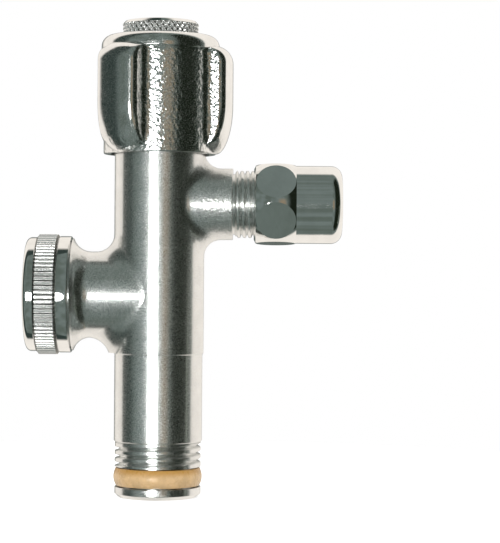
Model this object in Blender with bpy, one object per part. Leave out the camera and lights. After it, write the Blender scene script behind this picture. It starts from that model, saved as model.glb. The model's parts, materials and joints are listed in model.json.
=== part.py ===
"""Combination angle shut-off valve.

The main axis is +Z, from the end face of the wall inlet up to the cap in the handle.
The compression outlet points along +X and the hose outlet along -X.
All lengths are in metres.
"""

from math import acos, ceil, cos, pi, radians, sin, sqrt, tau

import bmesh
import bpy
from mathutils import Vector

# Shared clearances and mesh fineness
SEAT_GAP = 0.0003
RUNNING_GAP = 0.00015
OVERRUN = 0.001
WELD = 0.000001
BODY_SIDES = 28
NECK_SIDES = 22
SMALL_SIDES = 16
RING_SIDES = 5
CUT_TURN = radians(3.7)
HEXAGON_TURN = radians(2.3)
SHARP_ANGLE = radians(28)

# Inlet: a half-inch pipe thread with a groove for the sealing ring
INLET_CREST_RADIUS = 0.01048
INLET_ROOT_RADIUS = 0.00945
INLET_PITCH = 0.001814
INLET_END_CHAMFER = 0.0009
INLET_BORE_RADIUS = 0.0070
SEAL_GROOVE_START = 0.0026
SEAL_GROOVE_LENGTH = 0.0049
SEAL_GROOVE_RADIUS = 0.0086
SEAL_RADIUS = 0.01075
SEAL_BULGE = 0.0006
INLET_THREAD_TOP = 0.0133

# Main tube: the lower part is turned a little smaller than the casting above the step
LOWER_TUBE_RADIUS = 0.0107
STEP_HEIGHT = 0.0350
TUBE_RADIUS = 0.01095
BODY_TOP = 0.0880
TUBE_EDGE = 0.0004
BRANCH_SINK = 0.00012

# Waterway inside the body
SEAT_CONE_START = 0.0350
SEAT_CONE_HEIGHT = 0.0015
SEAT_TOP = 0.0400
SEAT_ORIFICE_RADIUS = 0.0050
SEAT_LIP_WALL = 0.0012
SEAT_LIP_HEIGHT = 0.0013
CHAMBER_RADIUS = 0.0078
BONNET_SOCKET_RADIUS = 0.0090
BONNET_SOCKET_DEPTH = 0.0110

# Hose outlet on the left
HOSE_AXIS_HEIGHT = 0.0491
HOSE_WAIST_RADIUS = 0.01045
HOSE_FILLET = 0.0043
HOSE_LOWER_FILLET = 0.0054
HOSE_LOWER_DRAFT = 0.0009
HOSE_FLARE_START = 0.0164
HOSE_FLARE_END = 0.0205
HOSE_COLLAR_RADIUS = 0.01365
HOSE_COLLAR_FACE = 0.0209
HOSE_THREAD_RADIUS = 0.01275
HOSE_OUTLET_END = 0.0305
HOSE_PASSAGE_RADIUS = 0.0060
CARTRIDGE_POCKET_RADIUS = 0.0086
CARTRIDGE_POCKET_FLOOR = 0.0142

# Compression outlet on the right
PIPE_AXIS_DROP = 0.0167
PIPE_AXIS_HEIGHT = BODY_TOP - PIPE_AXIS_DROP
PIPE_NECK_RADIUS = 0.0087
PIPE_FILLET = 0.0041
PIPE_NECK_END = 0.0179
PIPE_THREAD_START = 0.0184
PIPE_THREAD_CREST_RADIUS = 0.0081
PIPE_THREAD_ROOT_RADIUS = 0.0073
PIPE_THREAD_PITCH = 0.001337
PIPE_THREAD_SHOWN = 0.0060
PIPE_OUTLET_END = 0.0305
PIPE_PASSAGE_RADIUS = 0.0040
PIPE_SOCKET_RADIUS = 0.0052
PIPE_SOCKET_DEPTH = 0.0085
PIPE_MOUTH_RADIUS = 0.0066

# Union nut with a straight knurl
UNION_NUT_LENGTH = 0.0108
UNION_INNER_BAND = 0.0029
UNION_KNURL_BAND = 0.0054
UNION_INNER_BAND_RADIUS = 0.01415
UNION_OUTER_BAND_RADIUS = 0.01385
UNION_KNURL_RADIUS = 0.0146
UNION_KNURL_DEPTH = 0.00045
UNION_KNURL_TEETH = 50
UNION_KNURL_GAP = 0.00012
UNION_EDGE_ROUND = 0.0011
UNION_EDGE_CHAMFER = 0.0003
UNION_LIP_RADIUS = 0.0098

# Compression nut: a ball-shaped collar with six flats, then a plain barrel
PIPE_NUT_START = 0.0230
PIPE_NUT_LENGTH = 0.0214
PIPE_NUT_BARREL_RADIUS = 0.00945
PIPE_NUT_HALF_FLATS = 0.0095
PIPE_NUT_BALL_RADIUS = 0.01064
PIPE_NUT_BALL_CENTRE = 0.0053
PIPE_NUT_START_CHAMFER = 0.0008
PIPE_NUT_END_ROUND = 0.0027
PIPE_NUT_THREAD_LENGTH = 0.0088
PIPE_NUT_RING_ROOM = 0.0045
PIPE_NUT_FLAT_TURN = radians(52)

# Compression ring
PIPE_RING_RADIUS = 0.0071
PIPE_RING_WALL = 0.0014
PIPE_RING_LENGTH = 0.0048

# Bonnet
BONNET_HALF_FLATS = 0.0095
BONNET_FLANGE_HEIGHT = 0.0040
BONNET_NECK_RADIUS = 0.0072
BONNET_NECK_HEIGHT = 0.0046
BONNET_GUIDE_HEIGHT = 0.0076
BONNET_RECESS_HEIGHT = 0.0021
BONNET_SEAL_THICKNESS = 0.0008
BONNET_SEAL_WIDTH = 0.0013

# Spindle
JOURNAL_RADIUS = 0.0043
SPINDLE_FLANGE_RADIUS = 0.0057
SPINDLE_FLANGE_HEIGHT = 0.0014
SPINDLE_THREAD_RADIUS = 0.0030
SPINDLE_THREAD_LENGTH = 0.0125
SPINDLE_BORE_RADIUS = 0.0016
SPINDLE_JOURNAL_OUT = 0.0016
SPINDLE_DRIVE_HALF_FLATS = 0.0035
SPINDLE_DRIVE_HEIGHT = 0.0036
SPINDLE_STUB_HEIGHT = 0.0036
O_RING_THICKNESS = 0.0010
O_RING_GROOVE_RADIUS = 0.0032
O_RING_GROOVE_HEIGHT = 0.0016
LOWER_O_RING_RISE = 0.0035
UPPER_O_RING_RISE = 0.0075
CIRCLIP_GROOVE_RADIUS = 0.0037
CIRCLIP_THICKNESS = 0.0006
CIRCLIP_RADIUS = 0.0056
CIRCLIP_OPENING = radians(50)

# Plunger
PLUNGER_LIFT = 0.0050
PLUNGER_HALF_FLATS = 0.0050
PLUNGER_HEX_HEIGHT = 0.0055
PLUNGER_SOCKET_WALL = 0.0014
PLUNGER_SOCKET_SPARE = 0.0015
PLUNGER_SOCKET_FLOOR = 0.0030
PLUNGER_STEM_RADIUS = 0.0034
PLUNGER_CUP_RADIUS = 0.0068
PLUNGER_CUP_WALL = 0.0006
PLUNGER_CUP_DEPTH = 0.0013
PLUNGER_CUP_BACK = 0.0022
AIR_HOLE_RADIUS = 0.0012
WASHER_RADIUS = 0.0059
WASHER_THICKNESS = 0.0022
SCREW_SHANK_RADIUS = 0.0017
SCREW_SHANK_LENGTH = 0.0080
SCREW_HEAD_RADIUS = 0.0028
SCREW_HEAD_HEIGHT = 0.0015
SCREW_SLOT_WIDTH = 0.0008
SCREW_SLOT_DEPTH = 0.0007

# Handle: three lobes on a round core, with a rounded crown
HANDLE_CORE_RADIUS = 0.0137
HANDLE_CROWN_RADIUS = 0.0143
HANDLE_CROWN_ROUND = 0.0026
HANDLE_CROWN_STEP = 0.0005
HANDLE_SKIRT_DEPTH = 0.0166
HANDLE_CROWN_HEIGHT = 0.0089
HANDLE_WEB_THICKNESS = 0.0033
HANDLE_SKIRT_BORE_RADIUS = 0.0120
HANDLE_HUB_BORE_RADIUS = 0.0098
HANDLE_HUB_BORE_HEIGHT = 0.0050
LOBE_TIP_RADIUS = 0.01775
LOBE_HALF_WIDTH = 0.0060
LOBE_CROWNING = 0.0010
LOBE_EDGE_ROUND = 0.0010
LOBE_ROOT_WIDTH = 0.0014
LOBE_FOOT_HEIGHT = 0.0122
LOBE_FOOT_EDGE_LIFT = 0.0023
LOBE_HEAD_HEIGHT = 0.0042
LOBE_HEAD_EDGE_DROP = 0.0008
LOBE_HEAD_INSET = 0.0025
LOBE_ANGLES = (radians(-8.5), radians(111.5), radians(231.5))

# Vacuum breaker in the handle
BREAKER_RADIUS = 0.0076
BREAKER_SOCKET_DEPTH = 0.0040
BREAKER_FLOOR = 0.0006
BREAKER_CHAMBER_RADIUS = 0.0054
BREAKER_CHAMBER_HEIGHT = 0.0040
BREAKER_RIM_HEIGHT = 0.0016
BREAKER_RIM_WALL = 0.0013
BREAKER_SLOT_WIDTH = 0.0018
BREAKER_SLOT_DEPTH = 0.0007
BREAKER_SLOT_LENGTH = 0.0042
BREAKER_SEAL_DEPTH = 0.0016
BREAKER_SEAL_GROOVE_RADIUS = 0.0050
FLOAT_RADIUS = 0.0049
FLOAT_THICKNESS = 0.0012
FLOAT_STEM_RADIUS = 0.0012
FLOAT_STEM_LENGTH = 0.0040
FLOAT_STUD_RADIUS = 0.0011
FLOAT_HEAD_RADIUS = 0.0019
FLOAT_HEAD_HEIGHT = 0.0005
FLOAT_WASHER_RADIUS = 0.0044
FLOAT_WASHER_THICKNESS = 0.0007
FLOAT_TRAVEL = 0.0015
PORT_RADIUS = 0.0024
PORT_LIP_WALL = 0.0008

# Cap of the vacuum breaker, with a diamond knurl
CAP_RADIUS = 0.00925
CAP_HEIGHT = 0.0061
CAP_ROOF = 0.0013
CAP_KNURL_DEPTH = 0.00038
CAP_KNURL_TEETH = 34
CAP_KNURL_ROWS = 4
CAP_EDGE = 0.0006
CAP_ROOM = 0.0095

# Check valve cartridge in the hose outlet
CARTRIDGE_RADIUS = 0.0082
CARTRIDGE_LENGTH = 0.0140
CARTRIDGE_SEAT_RADIUS = 0.0044
CARTRIDGE_SEAT_WALL = 0.0017
CARTRIDGE_BORE_RADIUS = 0.0059
CARTRIDGE_LEDGE = 0.0102
CARTRIDGE_WIDE_BORE_RADIUS = 0.0066
CARTRIDGE_GROOVE_START = 0.0036
CARTRIDGE_GROOVE_LENGTH = 0.0020
CARTRIDGE_GROOVE_DEPTH = 0.0011
CARTRIDGE_RING_THICKNESS = 0.0011
POPPET_NOSE_RADIUS = 0.0027
POPPET_NOSE_LENGTH = 0.0020
POPPET_RADIUS = 0.0053
POPPET_THICKNESS = 0.0012
POPPET_STEM_RADIUS = 0.0014
POPPET_STEM_LENGTH = 0.0076
POPPET_WASHER_THICKNESS = 0.0009
GUIDE_RIM_RADIUS = 0.0063
GUIDE_RIM_WALL = 0.0009
GUIDE_HUB_WALL = 0.0009
GUIDE_THICKNESS = 0.0012
GUIDE_ARM_WIDTH = 0.0012
GUIDE_ARMS = 3
SPRING_RADIUS = 0.0025
SPRING_WIRE_RADIUS = 0.00025
SPRING_TURNS = 4.5
SPRING_STEPS_PER_TURN = 10
SPRING_WIRE_SIDES = 5


def clear_scene():
    for item in list(bpy.data.objects):
        bpy.data.objects.remove(item, do_unlink=True)


def finish(name, colour, roughness, metallic):
    material = bpy.data.materials.new(name)
    material.use_nodes = True
    shader = material.node_tree.nodes["Principled BSDF"]
    shader.inputs["Base Color"].default_value = (*colour, 1)
    shader.inputs["Roughness"].default_value = roughness
    shader.inputs["Metallic"].default_value = metallic
    material.diffuse_color = (*colour, 1)
    return material


def make_object(name, shape, material=None):
    bmesh.ops.recalc_face_normals(shape, faces=shape.faces)
    mesh = bpy.data.meshes.new(name)
    shape.to_mesh(mesh)
    shape.free()
    mesh.shade_smooth()
    mesh.set_sharp_from_angle(angle=SHARP_ANGLE)
    item = bpy.data.objects.new(name, mesh)
    bpy.context.scene.collection.objects.link(item)
    if material:
        mesh.materials.append(material)
    return item


def as_guide(item):
    item.hide_render = True
    item.display_type = "WIRE"
    return item


def combine(target, guide, operation):
    step = target.modifiers.new(guide.name, "BOOLEAN")
    step.operation = operation
    step.object = as_guide(guide)


def cut(target, guide):
    combine(target, guide, "DIFFERENCE")


def join(target, guide):
    combine(target, guide, "UNION")


def on_hose_axis(item):
    item.location = (0, 0, HOSE_AXIS_HEIGHT)
    item.rotation_euler = (0, -pi / 2, 0)
    return item


def on_pipe_axis(item):
    item.location = (0, 0, PIPE_AXIS_HEIGHT)
    item.rotation_euler = (0, pi / 2, 0)
    return item


def arc(centre, radius, start, end, steps):
    """Points (radius, height) on a circle, between two angles in degrees."""
    angles = [radians(start + (end - start) * i / steps) for i in range(steps + 1)]
    return [(centre[0] + radius * cos(a), centre[1] + radius * sin(a)) for a in angles]


def ring_outline(radius, height, thickness):
    """The round section of an O-ring."""
    return arc((radius, height), thickness / 2, 0, 360, RING_SIDES)[:-1]


def ridges(start, length, pitch, crest, root):
    """A thread's outline as rings at the true pitch; what is left of its length is plain."""
    count = int(length // pitch)
    points = []
    for i in range(count):
        points += [(root, start + i * pitch), (crest, start + (i + 1 / 2) * pitch)]
    return points + [(root, start + count * pitch), (root, start + length)]


def turned(outline, sides, turn=0):
    """Turn an outline of (radius, height) points about Z into a closed shape."""
    shape = bmesh.new()
    line = [shape.verts.new((r * cos(turn), r * sin(turn), height)) for r, height in outline]
    edges = [shape.edges.new(pair) for pair in zip(line, line[1:])]
    if outline[0][0] > 0:
        edges.append(shape.edges.new((line[-1], line[0])))
    bmesh.ops.spin(
        shape, geom=line + edges, axis=(0, 0, 1), cent=(0, 0, 0), angle=tau, steps=sides, use_merge=True
    )
    bmesh.ops.remove_doubles(shape, verts=shape.verts, dist=WELD)
    return shape


def lofted(rings, closed=False):
    """Skin rings of equal count; ends are closed by a fan, or joined when closed."""
    shape = bmesh.new()
    loops = [[shape.verts.new(point) for point in ring] for ring in rings]
    count = len(loops[0])
    pairs = list(zip(loops, loops[1:]))
    if closed:
        pairs.append((loops[-1], loops[0]))
    for lower, upper in pairs:
        for i in range(count):
            k = (i + 1) % count
            shape.faces.new((lower[i], lower[k], upper[k], upper[i]))
    if not closed:
        for loop in (loops[0], loops[-1]):
            centre = shape.verts.new(sum((v.co for v in loop), Vector()) / count)
            for i in range(count):
                shape.faces.new((loop[i], loop[(i + 1) % count], centre))
    return shape


def cutter(name, outline, sides):
    """A turned guide, given a small turn so that no edge of it meets an edge of the piece."""
    return make_object(name, turned(outline, sides, CUT_TURN))


def polygon(sides, inner_radius, height, turn=HEXAGON_TURN):
    """Corners of a regular polygon from the distance of its flats."""
    corner = inner_radius / cos(pi / sides)
    angles = [turn + (i + 1 / 2) * tau / sides for i in range(sides)]
    return [Vector((corner * cos(a), corner * sin(a), height)) for a in angles]


def prism(sides, inner_radius, bottom, top):
    return lofted([polygon(sides, inner_radius, z) for z in (bottom, top)])


def bar(width, depth, height, centre):
    shape = bmesh.new()
    bmesh.ops.create_cube(shape, size=1)
    bmesh.ops.scale(shape, vec=(width, depth, height), verts=shape.verts)
    bmesh.ops.translate(shape, vec=centre, verts=shape.verts)
    return shape


def branch(outline, sides, waist, fillet_at, draft_at):
    """A branch along local Z that leaves the main tube, which lies along local X.

    A ball of the fillet's radius rolls round the corner between the two cylinders, and each
    ring of points follows it: from the tube's surface, over the fillet, then the turned outline.
    """
    steps = 5
    lengthwise = []
    for j in range(sides):
        angle = tau * (j + 1 / 2) / sides
        fillet = fillet_at(angle)
        tube = TUBE_RADIUS - BRANCH_SINK + draft_at(angle)
        reach = waist + fillet
        side = reach * sin(angle)
        centre = Vector((reach * cos(angle), side, sqrt((tube + fillet) ** 2 - side**2)))
        to_tube = -Vector((0, centre.y, centre.z)).normalized()
        to_branch = -Vector((cos(angle), sin(angle), 0))
        opening = acos(max(-1, min(1, to_tube.dot(to_branch))))
        contact = centre + fillet * to_tube
        root = Vector((contact.x, contact.y / 2, contact.z / 2))
        points = [root, contact]
        for i in range(1, steps + 1):
            part = i / steps
            blend = (sin((1 - part) * opening) * to_tube + sin(part * opening) * to_branch) / sin(opening)
            points.append(centre + fillet * blend)
        points += [Vector((r * cos(angle), r * sin(angle), h)) for r, h in outline]
        lengthwise.append(points)
    rings = [[points[k] for points in lengthwise] for k in range(len(lengthwise[0]))]
    return lofted(rings)


def body_casting(chrome):
    shell = [
        (0, 0),
        (INLET_ROOT_RADIUS, 0),
        (INLET_CREST_RADIUS, INLET_END_CHAMFER),
        (INLET_CREST_RADIUS, SEAL_GROOVE_START),
        (SEAL_GROOVE_RADIUS, SEAL_GROOVE_START),
        (SEAL_GROOVE_RADIUS, SEAL_GROOVE_START + SEAL_GROOVE_LENGTH),
    ]
    thread_start = SEAL_GROOVE_START + SEAL_GROOVE_LENGTH
    thread_length = INLET_THREAD_TOP - thread_start
    shell += ridges(thread_start, thread_length, INLET_PITCH, INLET_CREST_RADIUS, INLET_ROOT_RADIUS)
    shell += [
        (LOWER_TUBE_RADIUS - TUBE_EDGE, INLET_THREAD_TOP),
        (TUBE_RADIUS, INLET_THREAD_TOP + TUBE_EDGE + TUBE_RADIUS - LOWER_TUBE_RADIUS),
        (TUBE_RADIUS, BODY_TOP - TUBE_EDGE),
        (TUBE_RADIUS - TUBE_EDGE, BODY_TOP),
        (0, BODY_TOP),
    ]
    body = make_object("valve_body", turned(shell, BODY_SIDES), chrome)
    join(body, hose_branch())
    join(body, pipe_branch())
    cut(body, trim_below_step())
    cut(body, cutter("waterway", waterway_outline(), NECK_SIDES))
    cut(body, hose_passage())
    cut(body, pipe_passage())
    return body


def hose_branch():
    run = HOSE_FLARE_END - HOSE_FLARE_START
    rise = HOSE_COLLAR_RADIUS - HOSE_WAIST_RADIUS
    flare = (run**2 + rise**2) / (2 * rise)
    sweep = acos(1 - rise / flare) * 180 / pi
    centre = (HOSE_WAIST_RADIUS + flare, HOSE_FLARE_START)
    outline = arc(centre, flare, 180, 180 - sweep, 4)
    outline += [
        (HOSE_COLLAR_RADIUS, HOSE_COLLAR_FACE),
        (HOSE_THREAD_RADIUS, HOSE_COLLAR_FACE),
        (HOSE_THREAD_RADIUS, HOSE_OUTLET_END - TUBE_EDGE),
        (HOSE_THREAD_RADIUS - TUBE_EDGE, HOSE_OUTLET_END),
    ]

    def fillet_at(angle):
        below = max(0, -cos(angle))
        return HOSE_FILLET + (HOSE_LOWER_FILLET - HOSE_FILLET) * below

    def draft_at(angle):
        return HOSE_LOWER_DRAFT * max(0, -cos(angle)) ** 4

    shape = branch(outline, BODY_SIDES, HOSE_WAIST_RADIUS, fillet_at, draft_at)
    return on_hose_axis(make_object("hose_branch", shape))


def pipe_branch():
    outline = [
        (PIPE_NECK_RADIUS, PIPE_NECK_END),
        (PIPE_THREAD_ROOT_RADIUS, PIPE_THREAD_START),
    ]
    thread = ridges(
        PIPE_THREAD_START,
        PIPE_THREAD_SHOWN,
        PIPE_THREAD_PITCH,
        PIPE_THREAD_CREST_RADIUS,
        PIPE_THREAD_ROOT_RADIUS,
    )
    outline += thread[1:-1]
    outline.append((PIPE_THREAD_ROOT_RADIUS, PIPE_OUTLET_END))
    shape = branch(outline, NECK_SIDES, PIPE_NECK_RADIUS, lambda angle: PIPE_FILLET, lambda angle: 0)
    return on_pipe_axis(make_object("pipe_branch", shape))


def trim_below_step():
    """The lathe cut that leaves the step and ends the branch's fillet there."""
    reach = HOSE_FLARE_END + HOSE_COLLAR_RADIUS
    outline = [
        (LOWER_TUBE_RADIUS, INLET_THREAD_TOP - OVERRUN),
        (reach, INLET_THREAD_TOP - OVERRUN),
        (reach, STEP_HEIGHT),
        (LOWER_TUBE_RADIUS, STEP_HEIGHT),
    ]
    return cutter("lathe_cut", outline, BODY_SIDES)


def waterway_outline():
    lip = SEAT_ORIFICE_RADIUS + SEAT_LIP_WALL
    floor = SEAT_TOP - SEAT_LIP_HEIGHT
    socket = BODY_TOP - BONNET_SOCKET_DEPTH
    return [
        (0, -OVERRUN),
        (INLET_BORE_RADIUS, -OVERRUN),
        (INLET_BORE_RADIUS, SEAT_CONE_START),
        (SEAT_ORIFICE_RADIUS, SEAT_CONE_START + SEAT_CONE_HEIGHT),
        (SEAT_ORIFICE_RADIUS, SEAT_TOP),
        (lip, SEAT_TOP),
        (lip, floor),
        (CHAMBER_RADIUS, floor),
        (CHAMBER_RADIUS, socket),
        (BONNET_SOCKET_RADIUS, socket),
        (BONNET_SOCKET_RADIUS, BODY_TOP + OVERRUN),
        (0, BODY_TOP + OVERRUN),
    ]


def hose_passage():
    outline = [
        (0, 0),
        (HOSE_PASSAGE_RADIUS, 0),
        (HOSE_PASSAGE_RADIUS, CARTRIDGE_POCKET_FLOOR),
        (CARTRIDGE_POCKET_RADIUS, CARTRIDGE_POCKET_FLOOR),
        (CARTRIDGE_POCKET_RADIUS, HOSE_OUTLET_END + OVERRUN),
        (0, HOSE_OUTLET_END + OVERRUN),
    ]
    return on_hose_axis(cutter("hose_passage", outline, NECK_SIDES))


def pipe_passage():
    floor = PIPE_OUTLET_END - PIPE_SOCKET_DEPTH
    mouth = PIPE_OUTLET_END - (PIPE_MOUTH_RADIUS - PIPE_SOCKET_RADIUS)
    outline = [
        (0, 0),
        (PIPE_PASSAGE_RADIUS, 0),
        (PIPE_PASSAGE_RADIUS, floor),
        (PIPE_SOCKET_RADIUS, floor),
        (PIPE_SOCKET_RADIUS, mouth),
        (PIPE_MOUTH_RADIUS, PIPE_OUTLET_END),
        (PIPE_MOUTH_RADIUS, PIPE_OUTLET_END + OVERRUN),
        (0, PIPE_OUTLET_END + OVERRUN),
    ]
    return on_pipe_axis(cutter("pipe_passage", outline, SMALL_SIDES))


def inlet_seal_ring(material):
    low = SEAL_GROOVE_START + SEAT_GAP
    high = SEAL_GROOVE_START + SEAL_GROOVE_LENGTH - SEAT_GAP
    inner = SEAL_GROOVE_RADIUS + SEAT_GAP
    half = (high - low) / 2
    bulge = (half**2 + SEAL_BULGE**2) / (2 * SEAL_BULGE)
    sweep = acos(1 - SEAL_BULGE / bulge) * 180 / pi
    outline = [(inner, low)]
    outline += arc((SEAL_RADIUS - bulge, low + half), bulge, -sweep, sweep, 4)
    outline += [(inner, high)]
    make_object("inlet_seal_ring", turned(outline, BODY_SIDES), material)


def union_nut(chrome):
    start = HOSE_COLLAR_FACE + SEAT_GAP
    knurl = start + UNION_INNER_BAND
    knurl_end = knurl + UNION_KNURL_BAND
    end = start + UNION_NUT_LENGTH
    bore = HOSE_THREAD_RADIUS + SEAT_GAP
    lip = HOSE_OUTLET_END + SEAT_GAP
    root = UNION_KNURL_RADIUS - UNION_KNURL_DEPTH - UNION_EDGE_CHAMFER / 2
    outline = [
        (bore, start),
        (UNION_INNER_BAND_RADIUS - UNION_EDGE_CHAMFER, start),
        (UNION_INNER_BAND_RADIUS, start + UNION_EDGE_CHAMFER),
        (UNION_INNER_BAND_RADIUS, knurl),
        (root, knurl),
        (root, knurl_end),
        (UNION_OUTER_BAND_RADIUS, knurl_end),
    ]
    corner = (UNION_OUTER_BAND_RADIUS - UNION_EDGE_ROUND, end - UNION_EDGE_ROUND)
    outline += arc(corner, UNION_EDGE_ROUND, 0, 90, 4)
    outline += [(UNION_LIP_RADIUS, end), (UNION_LIP_RADIUS, lip), (bore, lip)]
    nut = on_hose_axis(make_object("union_nut", turned(outline, BODY_SIDES), chrome))
    join(nut, on_hose_axis(make_object("union_knurl", knurl_ring(knurl, knurl_end))))


def knurl_ring(low, high):
    """A toothed ring, set off a little from the bands beside it."""
    count = 2 * UNION_KNURL_TEETH
    valley = UNION_KNURL_RADIUS - UNION_KNURL_DEPTH
    inner = valley - UNION_EDGE_CHAMFER

    def toothed(tip, root, height):
        radii = [tip if i % 2 else root for i in range(count)]
        return [
            Vector((r * cos(tau * (i + 1 / 4) / count), r * sin(tau * (i + 1 / 4) / count), height))
            for i, r in enumerate(radii)
        ]

    bottom = low + UNION_KNURL_GAP
    top = high - UNION_KNURL_GAP
    rings = [
        toothed(inner, inner, bottom),
        toothed(UNION_KNURL_RADIUS, valley, bottom + UNION_EDGE_CHAMFER),
        toothed(UNION_KNURL_RADIUS, valley, top - UNION_EDGE_CHAMFER),
        toothed(inner, inner, top),
    ]
    return lofted(rings, closed=True)


def compression_nut(chrome):
    start = PIPE_NUT_START
    end = start + PIPE_NUT_LENGTH
    ball = start + PIPE_NUT_BALL_CENTRE
    bore = PIPE_THREAD_CREST_RADIUS + SEAT_GAP
    thread_end = start + PIPE_NUT_THREAD_LENGTH
    room_end = thread_end + PIPE_NUT_RING_ROOM
    room = PIPE_RING_RADIUS + SEAT_GAP
    sweep = acos(PIPE_NUT_BARREL_RADIUS / PIPE_NUT_BALL_RADIUS) * 180 / pi
    outline = [
        (bore, start),
        (PIPE_NUT_BARREL_RADIUS - PIPE_NUT_START_CHAMFER, start),
    ]
    outline += arc((0, ball), PIPE_NUT_BALL_RADIUS, -sweep, sweep, 6)
    corner = (PIPE_NUT_BARREL_RADIUS - PIPE_NUT_END_ROUND, end - PIPE_NUT_END_ROUND)
    outline += arc(corner, PIPE_NUT_END_ROUND, 0, 90, 4)
    outline += [
        (PIPE_SOCKET_RADIUS, end),
        (PIPE_SOCKET_RADIUS, room_end + room - PIPE_SOCKET_RADIUS),
        (room, room_end),
        (room, thread_end),
        (bore, thread_end),
    ]
    nut = on_pipe_axis(make_object("compression_nut", turned(outline, BODY_SIDES), chrome))
    cut(nut, wrench_flats(start, ball + PIPE_NUT_BALL_RADIUS))


def wrench_flats(low, high):
    """A six-sided tube that leaves round flats on the ball-shaped collar."""
    outer = PIPE_NUT_BALL_RADIUS + OVERRUN
    rings = [
        polygon(6, PIPE_NUT_HALF_FLATS, low - OVERRUN, PIPE_NUT_FLAT_TURN),
        polygon(6, outer, low - OVERRUN, PIPE_NUT_FLAT_TURN),
        polygon(6, outer, high, PIPE_NUT_FLAT_TURN),
        polygon(6, PIPE_NUT_HALF_FLATS, high, PIPE_NUT_FLAT_TURN),
    ]
    return on_pipe_axis(make_object("wrench_flats", lofted(rings, closed=True)))


def compression_ring(brass):
    low = PIPE_OUTLET_END + SEAT_GAP
    high = low + PIPE_RING_LENGTH
    inner = PIPE_RING_RADIUS - PIPE_RING_WALL
    taper = PIPE_RING_WALL / 2
    outline = [
        (inner, low),
        (PIPE_RING_RADIUS - taper, low),
        (PIPE_RING_RADIUS, low + taper),
        (PIPE_RING_RADIUS, high - taper),
        (PIPE_RING_RADIUS - taper, high),
        (inner, high),
    ]
    on_pipe_axis(make_object("compression_ring", turned(outline, SMALL_SIDES), brass))


def headwork_heights():
    """Heights of the bonnet and of what stands on it, from the body's top up."""
    seal = BODY_TOP + SEAT_GAP
    flange = seal + BONNET_SEAL_THICKNESS + SEAT_GAP
    neck = flange + BONNET_FLANGE_HEIGHT
    neck_top = neck + BONNET_NECK_HEIGHT
    bottom = BODY_TOP - BONNET_SOCKET_DEPTH + SEAT_GAP
    recess = bottom + BONNET_GUIDE_HEIGHT
    journal = recess + BONNET_RECESS_HEIGHT
    shoulder = neck_top + SPINDLE_JOURNAL_OUT
    web = shoulder + SEAT_GAP
    web_top = web + HANDLE_WEB_THICKNESS
    drive_top = shoulder + SPINDLE_DRIVE_HEIGHT
    stub_top = drive_top + SPINDLE_STUB_HEIGHT
    return {
        "seal": seal,
        "flange": flange,
        "neck": neck,
        "neck_top": neck_top,
        "bottom": bottom,
        "recess": recess,
        "journal": journal,
        "shoulder": shoulder,
        "web": web,
        "web_top": web_top,
        "drive_top": drive_top,
        "stub_top": stub_top,
    }


def bonnet(brass):
    at = headwork_heights()
    outer = BONNET_SOCKET_RADIUS - SEAT_GAP
    bore = JOURNAL_RADIUS + RUNNING_GAP
    recess = SPINDLE_FLANGE_RADIUS + SEAT_GAP
    guide = PLUNGER_HALF_FLATS + SEAT_GAP / 2
    outline = [
        (0, at["bottom"]),
        (outer, at["bottom"]),
        (outer, at["flange"] + OVERRUN),
        (BONNET_NECK_RADIUS, at["flange"] + OVERRUN),
        (BONNET_NECK_RADIUS, at["neck_top"]),
        (0, at["neck_top"]),
    ]
    bore_outline = [
        (0, at["recess"] - OVERRUN / 2),
        (recess, at["recess"] - OVERRUN / 2),
        (recess, at["journal"]),
        (bore, at["journal"]),
        (bore, at["neck_top"] + OVERRUN),
        (0, at["neck_top"] + OVERRUN),
    ]
    piece = make_object("bonnet", turned(outline, BODY_SIDES), brass)
    flange = prism(6, BONNET_HALF_FLATS, at["flange"], at["neck"])
    join(piece, make_object("bonnet_hexagon", flange))
    hexagon = prism(6, guide, at["bottom"] - OVERRUN, at["recess"])
    cut(piece, make_object("bonnet_guide", hexagon))
    cut(piece, cutter("bonnet_bore", bore_outline, SMALL_SIDES))


def bonnet_seal_ring(material):
    at = headwork_heights()
    outer = TUBE_RADIUS - TUBE_EDGE
    outline = [
        (outer - BONNET_SEAL_WIDTH, at["seal"]),
        (outer, at["seal"]),
        (outer, at["seal"] + BONNET_SEAL_THICKNESS),
        (outer - BONNET_SEAL_WIDTH, at["seal"] + BONNET_SEAL_THICKNESS),
    ]
    make_object("bonnet_seal_ring", turned(outline, BODY_SIDES), material)


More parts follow.
